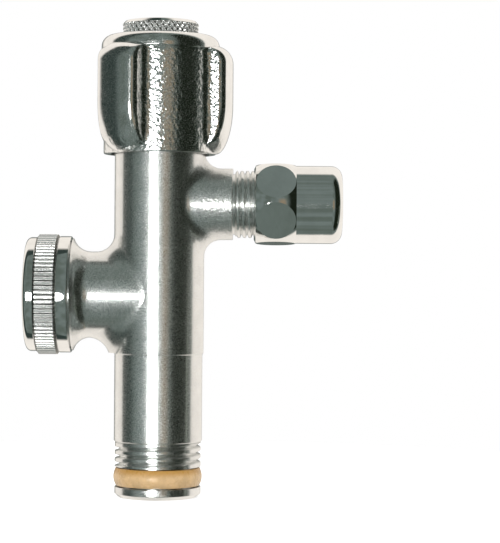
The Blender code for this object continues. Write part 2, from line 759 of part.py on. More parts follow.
def spindle(brass, rubber, steel):
    at = headwork_heights()
    flange_top = at["journal"] - SEAT_GAP
    flange = flange_top - SPINDLE_FLANGE_HEIGHT
    thread = flange - SPINDLE_THREAD_LENGTH
    outline = [
        (SPINDLE_BORE_RADIUS, thread),
        (SPINDLE_THREAD_RADIUS, thread),
        (SPINDLE_THREAD_RADIUS, flange),
        (SPINDLE_FLANGE_RADIUS, flange),
        (SPINDLE_FLANGE_RADIUS, flange_top),
        (JOURNAL_RADIUS, flange_top),
    ]
    for rise in (LOWER_O_RING_RISE, UPPER_O_RING_RISE):
        low = at["journal"] + rise - O_RING_GROOVE_HEIGHT / 2
        high = low + O_RING_GROOVE_HEIGHT
        outline += [
            (JOURNAL_RADIUS, low),
            (O_RING_GROOVE_RADIUS, low),
            (O_RING_GROOVE_RADIUS, high),
            (JOURNAL_RADIUS, high),
        ]
    clip = at["neck_top"] + SEAT_GAP
    outline += [
        (JOURNAL_RADIUS, clip - SEAT_GAP / 2),
        (CIRCLIP_GROOVE_RADIUS, clip - SEAT_GAP / 2),
        (CIRCLIP_GROOVE_RADIUS, clip + CIRCLIP_THICKNESS + SEAT_GAP / 2),
        (JOURNAL_RADIUS, clip + CIRCLIP_THICKNESS + SEAT_GAP / 2),
        (JOURNAL_RADIUS, at["shoulder"]),
        (SPINDLE_THREAD_RADIUS, at["shoulder"]),
        (SPINDLE_THREAD_RADIUS, at["stub_top"]),
        (SPINDLE_BORE_RADIUS, at["stub_top"]),
    ]
    piece = make_object("spindle", turned(outline, SMALL_SIDES), brass)
    join(piece, make_object("spindle_drive", drive_tube(at["shoulder"] - SEAT_GAP, at["drive_top"])))

    middle = (O_RING_GROOVE_RADIUS + JOURNAL_RADIUS + RUNNING_GAP) / 2
    for name, rise in (("lower", LOWER_O_RING_RISE), ("upper", UPPER_O_RING_RISE)):
        ring = ring_outline(middle, at["journal"] + rise, O_RING_THICKNESS)
        make_object("spindle_o_ring_" + name, turned(ring, SMALL_SIDES), rubber)

    inner = CIRCLIP_GROOVE_RADIUS + SEAT_GAP / 2
    clip_outline = [
        (inner, clip),
        (CIRCLIP_RADIUS, clip),
        (CIRCLIP_RADIUS, clip + CIRCLIP_THICKNESS),
        (inner, clip + CIRCLIP_THICKNESS),
    ]
    circlip = make_object("spindle_circlip", turned(clip_outline, SMALL_SIDES), steel)
    opening = 2 * CIRCLIP_RADIUS * sin(CIRCLIP_OPENING / 2)
    gap = bar(2 * CIRCLIP_RADIUS, opening, 2 * OVERRUN, (CIRCLIP_RADIUS, 0, clip))
    cut(circlip, make_object("circlip_gap", gap))


def drive_tube(low, high):
    """The hexagon that the handle sits on, open along the spindle's bore."""
    middle = (SPINDLE_BORE_RADIUS + SPINDLE_THREAD_RADIUS) / 2
    rings = [
        polygon(6, middle, low),
        polygon(6, SPINDLE_DRIVE_HALF_FLATS, low),
        polygon(6, SPINDLE_DRIVE_HALF_FLATS, high),
        polygon(6, middle, high),
    ]
    return lofted(rings, closed=True)


def plunger(brass, rubber, steel):
    at = headwork_heights()
    flange = at["journal"] - SEAT_GAP - SPINDLE_FLANGE_HEIGHT
    top = at["recess"] - SEAT_GAP - PLUNGER_LIFT
    hexagon = top - PLUNGER_HEX_HEIGHT
    socket = SPINDLE_THREAD_RADIUS + SEAT_GAP
    sleeve = socket + PLUNGER_SOCKET_WALL
    socket_floor = flange - SPINDLE_THREAD_LENGTH - PLUNGER_LIFT - PLUNGER_SOCKET_SPARE
    sleeve_bottom = socket_floor - PLUNGER_SOCKET_FLOOR
    washer = SEAT_TOP + SEAT_GAP
    cup_floor = washer + WASHER_THICKNESS + SEAT_GAP
    cup_back = cup_floor + PLUNGER_CUP_BACK
    cup_inner = PLUNGER_CUP_RADIUS - PLUNGER_CUP_WALL
    tapped = SCREW_SHANK_RADIUS + SEAT_GAP
    head_top = washer - SEAT_GAP
    shank_top = head_top + SCREW_SHANK_LENGTH
    outline = [
        (tapped, cup_floor),
        (cup_inner, cup_floor),
        (cup_inner, cup_floor - PLUNGER_CUP_DEPTH),
        (PLUNGER_CUP_RADIUS, cup_floor - PLUNGER_CUP_DEPTH),
        (PLUNGER_CUP_RADIUS, cup_back),
        (PLUNGER_STEM_RADIUS, cup_back + PLUNGER_STEM_RADIUS / 2),
        (PLUNGER_STEM_RADIUS, sleeve_bottom),
        (sleeve, sleeve_bottom + sleeve - PLUNGER_STEM_RADIUS),
        (sleeve, top),
        (socket, top),
        (socket, socket_floor),
        (SPINDLE_BORE_RADIUS, socket_floor),
        (SPINDLE_BORE_RADIUS, sleeve_bottom - AIR_HOLE_RADIUS),
        (0, sleeve_bottom - AIR_HOLE_RADIUS - SPINDLE_BORE_RADIUS),
        (0, shank_top + SEAT_GAP + SCREW_SHANK_RADIUS),
        (tapped, shank_top + SEAT_GAP),
    ]
    piece = make_object("valve_plunger", plunger_shape(outline), brass)
    join(piece, make_object("plunger_hexagon", hex_sleeve(socket, hexagon, top)))
    hole = bar(
        2 * AIR_HOLE_RADIUS, 2 * PLUNGER_STEM_RADIUS + OVERRUN, 2 * AIR_HOLE_RADIUS, (0, 0, sleeve_bottom)
    )
    cut(piece, make_object("air_hole", hole))

    washer_outline = [
        (SCREW_SHANK_RADIUS + SEAT_GAP, washer),
        (WASHER_RADIUS, washer),
        (WASHER_RADIUS, washer + WASHER_THICKNESS),
        (SCREW_SHANK_RADIUS + SEAT_GAP, washer + WASHER_THICKNESS),
    ]
    make_object("seat_washer", turned(washer_outline, SMALL_SIDES), rubber)

    head = head_top - SCREW_HEAD_HEIGHT
    screw_outline = [
        (0, head),
        (SCREW_HEAD_RADIUS, head),
        (SCREW_HEAD_RADIUS, head_top),
        (SCREW_SHANK_RADIUS, head_top),
        (SCREW_SHANK_RADIUS, shank_top),
        (0, shank_top),
    ]
    screw = make_object("seat_washer_screw", turned(screw_outline, SMALL_SIDES), steel)
    slot = bar(2 * SCREW_HEAD_RADIUS + OVERRUN, SCREW_SLOT_WIDTH, 2 * SCREW_SLOT_DEPTH, (0, 0, head))
    cut(screw, make_object("screw_slot", slot))


def plunger_shape(outline):
    """Turn the plunger, whose outline touches the axis between its two blind holes."""
    return turned(outline, SMALL_SIDES)


def hex_sleeve(socket, low, high):
    middle = socket + PLUNGER_SOCKET_WALL / 2
    rings = [
        polygon(6, middle * cos(pi / 6), low),
        polygon(6, PLUNGER_HALF_FLATS, low),
        polygon(6, PLUNGER_HALF_FLATS, high),
        polygon(6, middle * cos(pi / 6), high),
    ]
    return lofted(rings, closed=True)


def handle_levels():
    at = headwork_heights()
    bottom = at["web"] - HANDLE_SKIRT_DEPTH
    top = at["web_top"] + HANDLE_CROWN_HEIGHT
    crown = top - HANDLE_CROWN_ROUND
    foot = bottom + LOBE_FOOT_HEIGHT
    head = crown - LOBE_HEAD_HEIGHT + HANDLE_CROWN_STEP / 2
    return bottom, foot, head, crown, top


def handle_outer():
    bottom, foot, head, crown, top = handle_levels()
    step_bottom = crown - 2 * HANDLE_CROWN_STEP
    heights = [foot - LOBE_FOOT_HEIGHT * sin(radians(a)) for a in (90, 68, 46, 22, 0)]
    heights += [head + LOBE_HEAD_HEIGHT * sin(radians(a)) for a in (20, 40)]
    heights += [step_bottom, crown - HANDLE_CROWN_STEP]
    heights += [crown + HANDLE_CROWN_ROUND * sin(radians(a)) for a in (0, 30, 60, 90)]

    def crown_radius(z):
        if z < crown - HANDLE_CROWN_STEP * 3 / 2:
            return HANDLE_CORE_RADIUS
        if z <= crown:
            return HANDLE_CROWN_RADIUS
        up = min(1, (z - crown) / HANDLE_CROWN_ROUND)
        return HANDLE_CROWN_RADIUS - HANDLE_CROWN_ROUND * (1 - sqrt(1 - up**2))

    return lofted([handle_section(z, foot, head, crown_radius(z)) for z in heights])


def lobe_rise(across, z, foot, head):
    """How much of its full height the lobe has at a height and a place across its face."""
    foot_height = LOBE_FOOT_HEIGHT - LOBE_FOOT_EDGE_LIFT * across**2
    head_height = LOBE_HEAD_HEIGHT - LOBE_HEAD_EDGE_DROP * across**2
    past = max((foot - z) / foot_height, (z - head) / head_height, 0)
    return sqrt(max(0, 1 - past**2))


def handle_section(z, foot, head, floor_radius):
    """One level of the handle: a round core with three lobes."""
    face_shares = (0, 0.6)
    root_shares = ((0.03, 0.40), (0.27, 0.11), (1, 0))
    gap_steps = 4
    points = []
    root = LOBE_HALF_WIDTH + LOBE_ROOT_WIDTH
    root_angle = acos(sqrt(HANDLE_CORE_RADIUS**2 - root**2) / HANDLE_CORE_RADIUS)

    def core_at(across):
        return sqrt(HANDLE_CORE_RADIUS**2 - across**2)

    def face_at(across):
        share = across / LOBE_HALF_WIDTH
        full = LOBE_TIP_RADIUS - LOBE_CROWNING * share**2 - core_at(across)
        return full * lobe_rise(share, z, foot, head)

    for lobe in LOBE_ANGLES:
        edge_rise = face_at(LOBE_HALF_WIDTH)
        half = [(share * LOBE_HALF_WIDTH, face_at(share * LOBE_HALF_WIDTH)) for share in face_shares]
        half.append((LOBE_HALF_WIDTH - LOBE_EDGE_ROUND, face_at(LOBE_HALF_WIDTH - LOBE_EDGE_ROUND)))
        half.append((LOBE_HALF_WIDTH, edge_rise - min(LOBE_EDGE_ROUND, edge_rise / 2)))
        half += [(LOBE_HALF_WIDTH + out * LOBE_ROOT_WIDTH, share * edge_rise) for out, share in root_shares]
        local = [(core_at(t) + rise, -t) for t, rise in reversed(half[1:])]
        local += [(core_at(t) + rise, t) for t, rise in half]
        for along, across in local:
            point = Vector((along, across))
            point *= max(1, floor_radius / point.length)
            if floor_radius < HANDLE_CORE_RADIUS:
                point *= floor_radius / point.length
            x = point.x * cos(lobe) - point.y * sin(lobe)
            y = point.x * sin(lobe) + point.y * cos(lobe)
            points.append(Vector((x, y, z)))
        start = lobe + root_angle
        span = tau / len(LOBE_ANGLES) - 2 * root_angle
        for i in range(1, gap_steps):
            a = start + span * i / gap_steps
            points.append(Vector((floor_radius * cos(a), floor_radius * sin(a), z)))
    return points


def handle(chrome):
    at = headwork_heights()
    bottom, foot, head, crown, top = handle_levels()
    piece = make_object("handle", handle_outer(), chrome)
    skirt_top = at["web"] - HANDLE_HUB_BORE_HEIGHT
    skirt = [
        (0, bottom - OVERRUN),
        (HANDLE_SKIRT_BORE_RADIUS, bottom - OVERRUN),
        (HANDLE_SKIRT_BORE_RADIUS, skirt_top),
        (HANDLE_HUB_BORE_RADIUS, skirt_top + HANDLE_SKIRT_BORE_RADIUS - HANDLE_HUB_BORE_RADIUS),
        (HANDLE_HUB_BORE_RADIUS, at["web"]),
        (0, at["web"]),
    ]
    cup = BREAKER_RADIUS + SEAT_GAP
    cap_room = CAP_RADIUS + SEAT_GAP
    cap_floor = cap_bottom() - SEAT_GAP
    recess = [
        (0, at["web_top"]),
        (cup, at["web_top"]),
        (cup, cap_floor),
        (cap_room, cap_floor),
        (cap_room, top + OVERRUN),
        (0, top + OVERRUN),
    ]
    cut(piece, cutter("skirt_bore", skirt, NECK_SIDES))
    cut(piece, cutter("breaker_recess", recess, NECK_SIDES))
    drive = prism(6, SPINDLE_DRIVE_HALF_FLATS + RUNNING_GAP, at["web"] - OVERRUN, at["web_top"] + OVERRUN)
    cut(piece, make_object("drive_hole", drive))


def breaker_heights():
    at = headwork_heights()
    bottom = at["web_top"] + SEAT_GAP
    socket = bottom + BREAKER_SOCKET_DEPTH
    floor = socket + BREAKER_FLOOR
    ledge = floor + BREAKER_CHAMBER_HEIGHT
    rim = ledge + BREAKER_RIM_HEIGHT
    return bottom, socket, floor, ledge, rim


def cap_bottom():
    rim = breaker_heights()[-1]
    return rim + CAP_ROOF / 2 + CAP_ROOF - CAP_HEIGHT


def breaker(plastic, rubber, brass):
    bottom, socket, floor, ledge, rim = breaker_heights()
    stub = SPINDLE_THREAD_RADIUS + SEAT_GAP
    rim_bore = BREAKER_RADIUS - BREAKER_RIM_WALL
    hole = FLOAT_STEM_RADIUS + 2 * SEAT_GAP
    outline = [
        (BREAKER_SEAL_GROOVE_RADIUS, bottom),
        (BREAKER_RADIUS, bottom),
        (BREAKER_RADIUS, rim),
        (rim_bore, rim),
        (rim_bore, ledge),
        (BREAKER_CHAMBER_RADIUS, ledge),
        (BREAKER_CHAMBER_RADIUS, floor),
        (hole, floor),
        (hole, socket),
        (stub, socket),
        (stub, bottom + BREAKER_SEAL_DEPTH),
        (BREAKER_SEAL_GROOVE_RADIUS, bottom + BREAKER_SEAL_DEPTH),
    ]
    housing = make_object("breaker_housing", turned(outline, SMALL_SIDES), brass)
    for i in range(2):
        across = 2 * BREAKER_RADIUS
        size = (across + OVERRUN, BREAKER_SLOT_WIDTH) if i else (BREAKER_SLOT_WIDTH, across + OVERRUN)
        slot = bar(*size, BREAKER_SLOT_LENGTH, (0, 0, rim))
        guide = make_object("air_slot_%d" % i, slot)
        core = [
            (0, rim - BREAKER_SLOT_LENGTH),
            (BREAKER_RADIUS - BREAKER_SLOT_DEPTH, rim - BREAKER_SLOT_LENGTH),
            (BREAKER_RADIUS - BREAKER_SLOT_DEPTH, rim + BREAKER_SLOT_LENGTH),
            (0, rim + BREAKER_SLOT_LENGTH),
        ]
        cut(guide, cutter("air_slot_core_%d" % i, core, SMALL_SIDES))
        cut(housing, guide)

    middle = (stub + BREAKER_SEAL_GROOVE_RADIUS) / 2
    ring = ring_outline(middle, bottom + BREAKER_SEAL_DEPTH / 2, O_RING_THICKNESS)
    make_object("breaker_seal_ring", turned(ring, SMALL_SIDES), rubber)

    rest = floor + SEAT_GAP
    deck = rest + FLOAT_THICKNESS
    washer = deck + RUNNING_GAP
    head = washer + FLOAT_WASHER_THICKNESS + RUNNING_GAP
    float_outline = [
        (0, rest - FLOAT_STEM_LENGTH),
        (FLOAT_STEM_RADIUS, rest - FLOAT_STEM_LENGTH),
        (FLOAT_STEM_RADIUS, rest),
        (FLOAT_RADIUS, rest),
        (FLOAT_RADIUS, deck),
        (FLOAT_STUD_RADIUS, deck),
        (FLOAT_STUD_RADIUS, head),
        (FLOAT_HEAD_RADIUS, head),
        (FLOAT_HEAD_RADIUS, head + FLOAT_HEAD_HEIGHT),
        (0, head + FLOAT_HEAD_HEIGHT),
    ]
    make_object("breaker_float", turned(float_outline, SMALL_SIDES), plastic)
    washer_outline = [
        (FLOAT_STUD_RADIUS + RUNNING_GAP, washer),
        (FLOAT_WASHER_RADIUS, washer),
        (FLOAT_WASHER_RADIUS, washer + FLOAT_WASHER_THICKNESS),
        (FLOAT_STUD_RADIUS + RUNNING_GAP, washer + FLOAT_WASHER_THICKNESS),
    ]
    make_object("breaker_float_washer", turned(washer_outline, SMALL_SIDES), rubber)

    lip = washer + FLOAT_WASHER_THICKNESS + FLOAT_TRAVEL + SEAT_GAP
    seat = [
        (PORT_RADIUS, lip),
        (PORT_RADIUS + PORT_LIP_WALL, lip),
        (PORT_RADIUS + PORT_LIP_WALL, ledge + SEAT_GAP),
        (rim_bore - SEAT_GAP, ledge + SEAT_GAP),
        (rim_bore - SEAT_GAP, rim),
        (PORT_RADIUS, rim),
    ]
    make_object("breaker_seat", turned(seat, SMALL_SIDES), plastic)


def breaker_cap(chrome):
    low = cap_bottom()
    high = low + CAP_HEIGHT
    count = 2 * CAP_KNURL_TEETH
    valley = CAP_RADIUS - CAP_KNURL_DEPTH
    rows = CAP_KNURL_ROWS

    def ring(radii, z):
        return [
            Vector((r * cos(tau * i / count), r * sin(tau * i / count), z)) for i, r in enumerate(radii)
        ]

    rings = [ring([valley - CAP_EDGE] * count, low)]
    for j in range(rows + 1):
        z = low + CAP_EDGE + (CAP_HEIGHT - 2 * CAP_EDGE) * j / rows
        rings.append(ring([CAP_RADIUS if (i + j) % 2 else valley for i in range(count)], z))
    rings.append(ring([valley - CAP_EDGE] * count, high))
    shape = lofted(rings)
    crease_along_valleys(shape, valley)
    cap = make_object("breaker_cap", shape, chrome)
    room = BREAKER_RADIUS + SEAT_GAP
    hollow = [
        (0, low - OVERRUN),
        (room, low - OVERRUN),
        (room, high - CAP_ROOF),
        (0, high - CAP_ROOF),
    ]
    cut(cap, cutter("cap_hollow", hollow, SMALL_SIDES))


def crease_along_valleys(shape, valley):
    """Split each four-sided face of the knurl from valley to valley, which leaves pyramids."""
    for face in [f for f in shape.faces if len(f.verts) == 4]:
        low = [v for v in face.verts if v.co.xy.length < valley + WELD]
        if len(low) == 2 and not any(set(low) == set(edge.verts) for edge in face.edges):
            bmesh.utils.face_split(face, *low)


def check_valve(plastic, rubber, steel):
    start = CARTRIDGE_POCKET_FLOOR + SEAT_GAP
    seat = start + CARTRIDGE_SEAT_WALL
    ledge = start + CARTRIDGE_LEDGE
    end = start + CARTRIDGE_LENGTH
    groove = start + CARTRIDGE_GROOVE_START
    groove_end = groove + CARTRIDGE_GROOVE_LENGTH
    groove_radius = CARTRIDGE_RADIUS - CARTRIDGE_GROOVE_DEPTH
    housing = [
        (CARTRIDGE_SEAT_RADIUS, start),
        (CARTRIDGE_RADIUS, start),
        (CARTRIDGE_RADIUS, groove),
        (groove_radius, groove),
        (groove_radius, groove_end),
        (CARTRIDGE_RADIUS, groove_end),
        (CARTRIDGE_RADIUS, end),
        (CARTRIDGE_WIDE_BORE_RADIUS, end),
        (CARTRIDGE_WIDE_BORE_RADIUS, ledge),
        (CARTRIDGE_BORE_RADIUS, ledge),
        (CARTRIDGE_BORE_RADIUS, seat),
        (CARTRIDGE_SEAT_RADIUS, seat),
    ]
    on_hose_axis(make_object("check_valve_housing", turned(housing, SMALL_SIDES), plastic))

    middle = (groove_radius + CARTRIDGE_POCKET_RADIUS) / 2
    ring = ring_outline(middle, (groove + groove_end) / 2, CARTRIDGE_RING_THICKNESS)
    on_hose_axis(make_object("check_valve_seal_ring", turned(ring, SMALL_SIDES), rubber))

    washer = seat + SEAT_GAP
    disc = washer + POPPET_WASHER_THICKNESS + RUNNING_GAP
    disc_end = disc + POPPET_THICKNESS
    poppet = [
        (0, disc - POPPET_NOSE_LENGTH),
        (POPPET_NOSE_RADIUS, disc - POPPET_NOSE_LENGTH),
        (POPPET_NOSE_RADIUS, disc),
        (POPPET_RADIUS, disc),
        (POPPET_RADIUS, disc_end),
        (POPPET_STEM_RADIUS, disc_end),
        (POPPET_STEM_RADIUS, disc_end + POPPET_STEM_LENGTH),
        (0, disc_end + POPPET_STEM_LENGTH),
    ]
    on_hose_axis(make_object("check_valve_poppet", turned(poppet, SMALL_SIDES), plastic))
    washer_outline = [
        (POPPET_NOSE_RADIUS + RUNNING_GAP, washer),
        (POPPET_RADIUS, washer),
        (POPPET_RADIUS, washer + POPPET_WASHER_THICKNESS),
        (POPPET_NOSE_RADIUS + RUNNING_GAP, washer + POPPET_WASHER_THICKNESS),
    ]
    on_hose_axis(make_object("check_valve_washer", turned(washer_outline, SMALL_SIDES), rubber))

    guide = ledge + SEAT_GAP
    on_hose_axis(make_object("check_valve_guide", *guide_pieces(guide, plastic)))
    spring = coil(disc_end + SPRING_WIRE_RADIUS + RUNNING_GAP, guide - SPRING_WIRE_RADIUS - RUNNING_GAP)
    on_hose_axis(make_object("check_valve_spring", spring, steel))


def guide_pieces(low, plastic):
    """A spider: a rim and a hub with a hole, joined by arms in one drawn plate."""
    high = low + GUIDE_THICKNESS
    hub_bore = POPPET_STEM_RADIUS + SEAT_GAP
    hub = hub_bore + GUIDE_HUB_WALL
    rim = GUIDE_RIM_RADIUS - GUIDE_RIM_WALL
    sides = 8 * GUIDE_ARMS
    half_hub = GUIDE_ARM_WIDTH / 2
    shape = bmesh.new()
    angles = [tau * i / sides for i in range(sides)]

    def loop(radius, z):
        return [shape.verts.new((radius * cos(a), radius * sin(a), z)) for a in angles]

    rings = {r: (loop(r, low), loop(r, high)) for r in (hub_bore, hub, rim, GUIDE_RIM_RADIUS)}
    radii = sorted(rings)
    arm = [i for i in range(sides) if i % (sides // GUIDE_ARMS) == 0]
    for i in range(sides):
        k = (i + 1) % sides
        for inner, outer in zip(radii, radii[1:]):
            if inner == hub and i not in arm:
                continue
            for level in range(2):
                a, b = rings[inner][level], rings[outer][level]
                shape.faces.new((a[i], b[i], b[k], a[k]))
        for radius in (hub_bore, GUIDE_RIM_RADIUS):
            a, b = rings[radius]
            shape.faces.new((a[i], a[k], b[k], b[i]))
        for radius in (hub, rim):
            if i not in arm:
                a, b = rings[radius]
                shape.faces.new((a[i], a[k], b[k], b[i]))
    for i in arm:
        for side in (i, (i + 1) % sides):
            a, b = rings[hub], rings[rim]
            shape.faces.new((a[0][side], b[0][side], b[1][side], a[1][side]))
    return shape, plastic


def coil(low, high):
    """A wire coil about Z between two heights."""
    steps = ceil(SPRING_TURNS * SPRING_STEPS_PER_TURN)
    rings = []
    for i in range(steps + 1):
        share = i / steps
        turn = tau * SPRING_TURNS * share
        out = Vector((cos(turn), sin(turn), 0))
        middle = out * SPRING_RADIUS + Vector((0, 0, low + (high - low) * share))
        ring = []
        for k in range(SPRING_WIRE_SIDES):
            a = tau * k / SPRING_WIRE_SIDES
            ring.append(middle + SPRING_WIRE_RADIUS * (cos(a) * out + Vector((0, 0, sin(a)))))
        rings.append(ring)
    return lofted(rings)


def main():
    clear_scene()
    chrome = finish("chrome", (0.66, 0.68, 0.66), 0.08, 1)
    brass = finish("brass", (0.74, 0.55, 0.27), 0.3, 1)
    steel = finish("spring_steel", (0.55, 0.55, 0.56), 0.3, 1)
    rubber = finish("black_rubber", (0.03, 0.03, 0.03), 0.6, 0)
    sealing = finish("brown_seal", (0.55, 0.32, 0.14), 0.5, 0)
    plastic = finish("white_plastic", (0.82, 0.82, 0.78), 0.4, 0)

    body_casting(chrome)
    inlet_seal_ring(sealing)
    bonnet(brass)
    bonnet_seal_ring(sealing)
    spindle(brass, rubber, steel)
    plunger(brass, rubber, steel)
    handle(chrome)
    breaker(plastic, rubber, brass)
    breaker_cap(chrome)
    check_valve(plastic, rubber, steel)
    union_nut(chrome)
    compression_nut(chrome)
    compression_ring(brass)


main()
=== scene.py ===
"""Dressed model of the combination shut-off valve: shapes, finishes, light and camera."""

import json
from math import acos, atan2, cos, degrees, hypot, pi, radians, sin, sqrt, tau

import bmesh
import bpy
from mathutils import Matrix, Vector


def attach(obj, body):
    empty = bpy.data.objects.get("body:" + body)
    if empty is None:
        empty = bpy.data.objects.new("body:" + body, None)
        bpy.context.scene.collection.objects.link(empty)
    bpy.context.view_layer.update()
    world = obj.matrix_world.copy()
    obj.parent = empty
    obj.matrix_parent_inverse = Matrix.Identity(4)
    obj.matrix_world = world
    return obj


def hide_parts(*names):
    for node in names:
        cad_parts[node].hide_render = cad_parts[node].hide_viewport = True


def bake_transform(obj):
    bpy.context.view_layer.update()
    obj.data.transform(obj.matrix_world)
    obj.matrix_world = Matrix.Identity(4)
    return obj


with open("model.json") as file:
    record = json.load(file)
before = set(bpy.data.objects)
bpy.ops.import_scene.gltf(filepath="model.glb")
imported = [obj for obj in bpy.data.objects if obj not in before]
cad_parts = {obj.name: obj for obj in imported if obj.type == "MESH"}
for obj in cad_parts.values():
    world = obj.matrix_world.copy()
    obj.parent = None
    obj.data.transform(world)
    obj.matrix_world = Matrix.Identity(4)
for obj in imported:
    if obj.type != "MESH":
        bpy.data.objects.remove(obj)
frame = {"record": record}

# Lengths are in millimetres up to the end of the shapes, unless a comment says otherwise
MM = 0.001

# Fineness of the meshes
BODY_SIDES = 160
PIPE_BRANCH_SIDES = 144
RING_SIDES = 128
HANDLE_BORE_SIDES = 96
BORE_SIDES = 72
WIRE_SIDES = 10
WIRE_STEPS = 108
KNURL_STEPS = 8
DIAMOND_STEPS = 12
FILLET_STEPS = 14
THREAD_STEP = 0.15
PIPE_THREAD_STEP = 0.16
CAP_KNURL_STEP = 0.12
PLAIN_STEP = 1.2
WELD_DISTANCE = 0.0005

# Inlet and tube
TUBE_RADIUS = 10.95
LOWER_TUBE_RADIUS = 10.7
STEP_HEIGHT = 35.0
STEP_CHAMFER = 0.26
BODY_TOP = 88.0
INLET_END_RADIUS = 9.35
INLET_LEAD_HEIGHT = 0.95
INLET_CREST_RADIUS = 10.48
INLET_ROOT_RADIUS = 9.3
INLET_PITCH = 1.814
INLET_THREAD_TOP = 13.3
INLET_RUN_OUT = 0.25
THREAD_NECK_DEPTH = 0.45
THREAD_NECK_HEIGHT = 0.7
LATHE_REACH = 34
LATHE_TURN = radians(0.4)

# A thread's root and crest, as shares of half its pitch
THREAD_ROOT_FLAT = 0.04
THREAD_CREST_FLAT = 0.42

# Sealing ring
SEAL_GROOVE = (2.6, 7.5)
SEAL_GROOVE_RADIUS = 8.6
SEAL_GAP = 0.3
SEAL_INNER_RADIUS = 8.9
SEAL_EDGE_RADIUS = 9.9
SEAL_OUTER_RADIUS = 10.75
SEAL_BULGE = 0.6

# Hose branch
HOSE_HEIGHT = 49.1
HOSE_WAIST_RADIUS = 10.45
HOSE_FILLET = 4.3
HOSE_LOWER_FILLET = 5.5
HOSE_LOWER_DRAFT = 0.9
HOSE_DRAFT_POWER = 12
HOSE_FLARE_RADIUS = 4.63
HOSE_FLARE_START = 16.4
HOSE_COLLAR_RADIUS = 13.65
HOSE_COLLAR_FACE = 20.9
HOSE_COLLAR_CHAMFER = 0.08
HOSE_THREAD_RADIUS = 12.75
OUTLET_END = 30.5
OUTLET_CHAMFER = 0.4

# Check valve's spring
SPRING_ENDS = (18.91, 24.84)
SPRING_RADIUS = 2.5
SPRING_WIRE_RADIUS = 0.25
SPRING_TURNS = 4.5

# Pipe branch
PIPE_HEIGHT = 71.3
PIPE_NECK_RADIUS = 8.7
PIPE_FILLET = 4.1
PIPE_NECK_START = 16.4
PIPE_NECK_END = 17.9
PIPE_THREAD_START = 18.3
PIPE_THREAD_LEAD = 0.5
PIPE_CREST_RADIUS = 8.15
PIPE_CREST_END = 25.5
PIPE_ROOT_RADIUS = 7.35
PIPE_THREAD_END = 26.3
PIPE_PITCH = 1.337
PIPE_RUN_OUT = 0.3

# Bores, as (radius, height) along their own axes
WATERWAY = [
    (0, -1), (7.0, -1), (7.0, 35.0), (5.0, 36.5), (5.0, 40.0), (6.2, 40.0), (6.2, 38.7),
    (7.8, 38.7), (7.8, 77.0), (9.0, 77.0), (9.0, 89), (0, 89),
]
HOSE_BORE = [(0, 0), (6.0, 0), (6.0, 14.2), (8.6, 14.2), (8.6, 32), (0, 32)]
PIPE_BORE = [(0, 0), (4.0, 0), (4.0, 22.0), (5.2, 22.0), (5.2, 29.1), (6.6, 30.5), (6.6, 32), (0, 32)]
HANDLE_SKIRT = [(0, 82), (12.0, 82), (12.0, 94.9), (9.8, 97.1), (9.8, 99.9), (0, 99.9)]
HANDLE_RECESS = [
    (0, 103.2), (7.9, 103.2), (7.9, 109.2), (9.6, 109.2), (9.6, 111.8), (9.9, 112.2), (0, 112.2),
]

# Small turns, in radians, that keep the corners of a bore clear of those of what it cuts
WATERWAY_TURN = 0.01
HOSE_BORE_TURN = 0.013
PIPE_BORE_TURN = 0.017
SKIRT_TURN = 0.011
RECESS_TURN = 0.013

# Union nut
NUT_START = 21.2
NUT_END = 32.0
NUT_THREAD_START = 21.6
NUT_FLOOR = 30.85
NUT_BORE_RADIUS = 13.05
NUT_MOUTH_RADIUS = 9.8
NUT_REAR_RADIUS = 14.15
NUT_REAR_END = 23.95
NUT_FRONT_RADIUS = 13.85
KNURL_SPAN = (24.1, 29.5)
KNURL_RADIUS = 14.6
KNURL_FOOT_RADIUS = 13.9
KNURL_CHAMFER = 0.5
KNURL_INNER_RADIUS = 13.95
KNURL_FADE = 0.6
KNURL_TEETH = 80
KNURL_DEPTH = 0.5
KNURL_CREST_START = 0.8
# How far below the knurl's crest its faces take the painted shade of the grooves
KNURL_SHADE_DEPTH = 0.32

# Compression nut
PIPE_NUT_START = 23.0
PIPE_NUT_END = 44.4
PIPE_NUT_RADIUS = 9.45
PIPE_NUT_BALL_RADIUS = 10.64
PIPE_NUT_BALL_CENTRE = 28.3
PIPE_NUT_BALL_STEPS = 40
PIPE_NUT_ROUNDING = 2.7
PIPE_NUT_HALF_FLATS = 9.5
PIPE_NUT_FLAT_TURN = radians(55.5)
PIPE_NUT_BORE_RADIUS = 8.4
PIPE_NUT_BORE = [
    (5.2, 38.7, 0), (7.4, 36.3, 0), (7.4, 31.8, 0), (PIPE_NUT_BORE_RADIUS, 31.8, 0),
]
PIPE_NUT_MOUTH_RADIUS = 5.2

# Handle
HANDLE_BOTTOM = 83.3
HANDLE_BOTTOM_ROUNDING = 0.35
HANDLE_BOTTOM_STEPS = 4
HANDLE_TOP = 112.1
CORE_RADIUS = 13.7
CROWN_RADIUS = 14.35
CROWN_STEP = 108.5
CROWN_STEP_SPAN = 0.24
CROWN_SHOULDER = 109.45
CROWN_TOP_RADIUS = 11.75
CROWN_BLEND = 0.22
LOBE_TIP_RADIUS = 17.75
LOBE_HALF_WIDTH = 6.0
LOBE_CROWNING = 1.0
LOBE_ANGLES = (radians(-8.5), radians(111.5), radians(231.5))
LOBE_EDGE = 1.7
LOBE_FOOT = 95.5
LOBE_HEAD = 105.3
# How far a lobe runs out beyond its foot and head: at its middle, and how much less at its sides
LOBE_FOOT_LENGTH = (12.2, 2.3)
LOBE_HEAD_LENGTH = (4.2, 0.8)
ROOT_FILLET = 3.0
FULL_FILLET_EDGE = 3.2
VALLEY_STEPS = 28
DRIVE_HALF_FLATS = 3.65
DRIVE_SPAN = (99, 104)
DRIVE_TURN = radians(32.3)

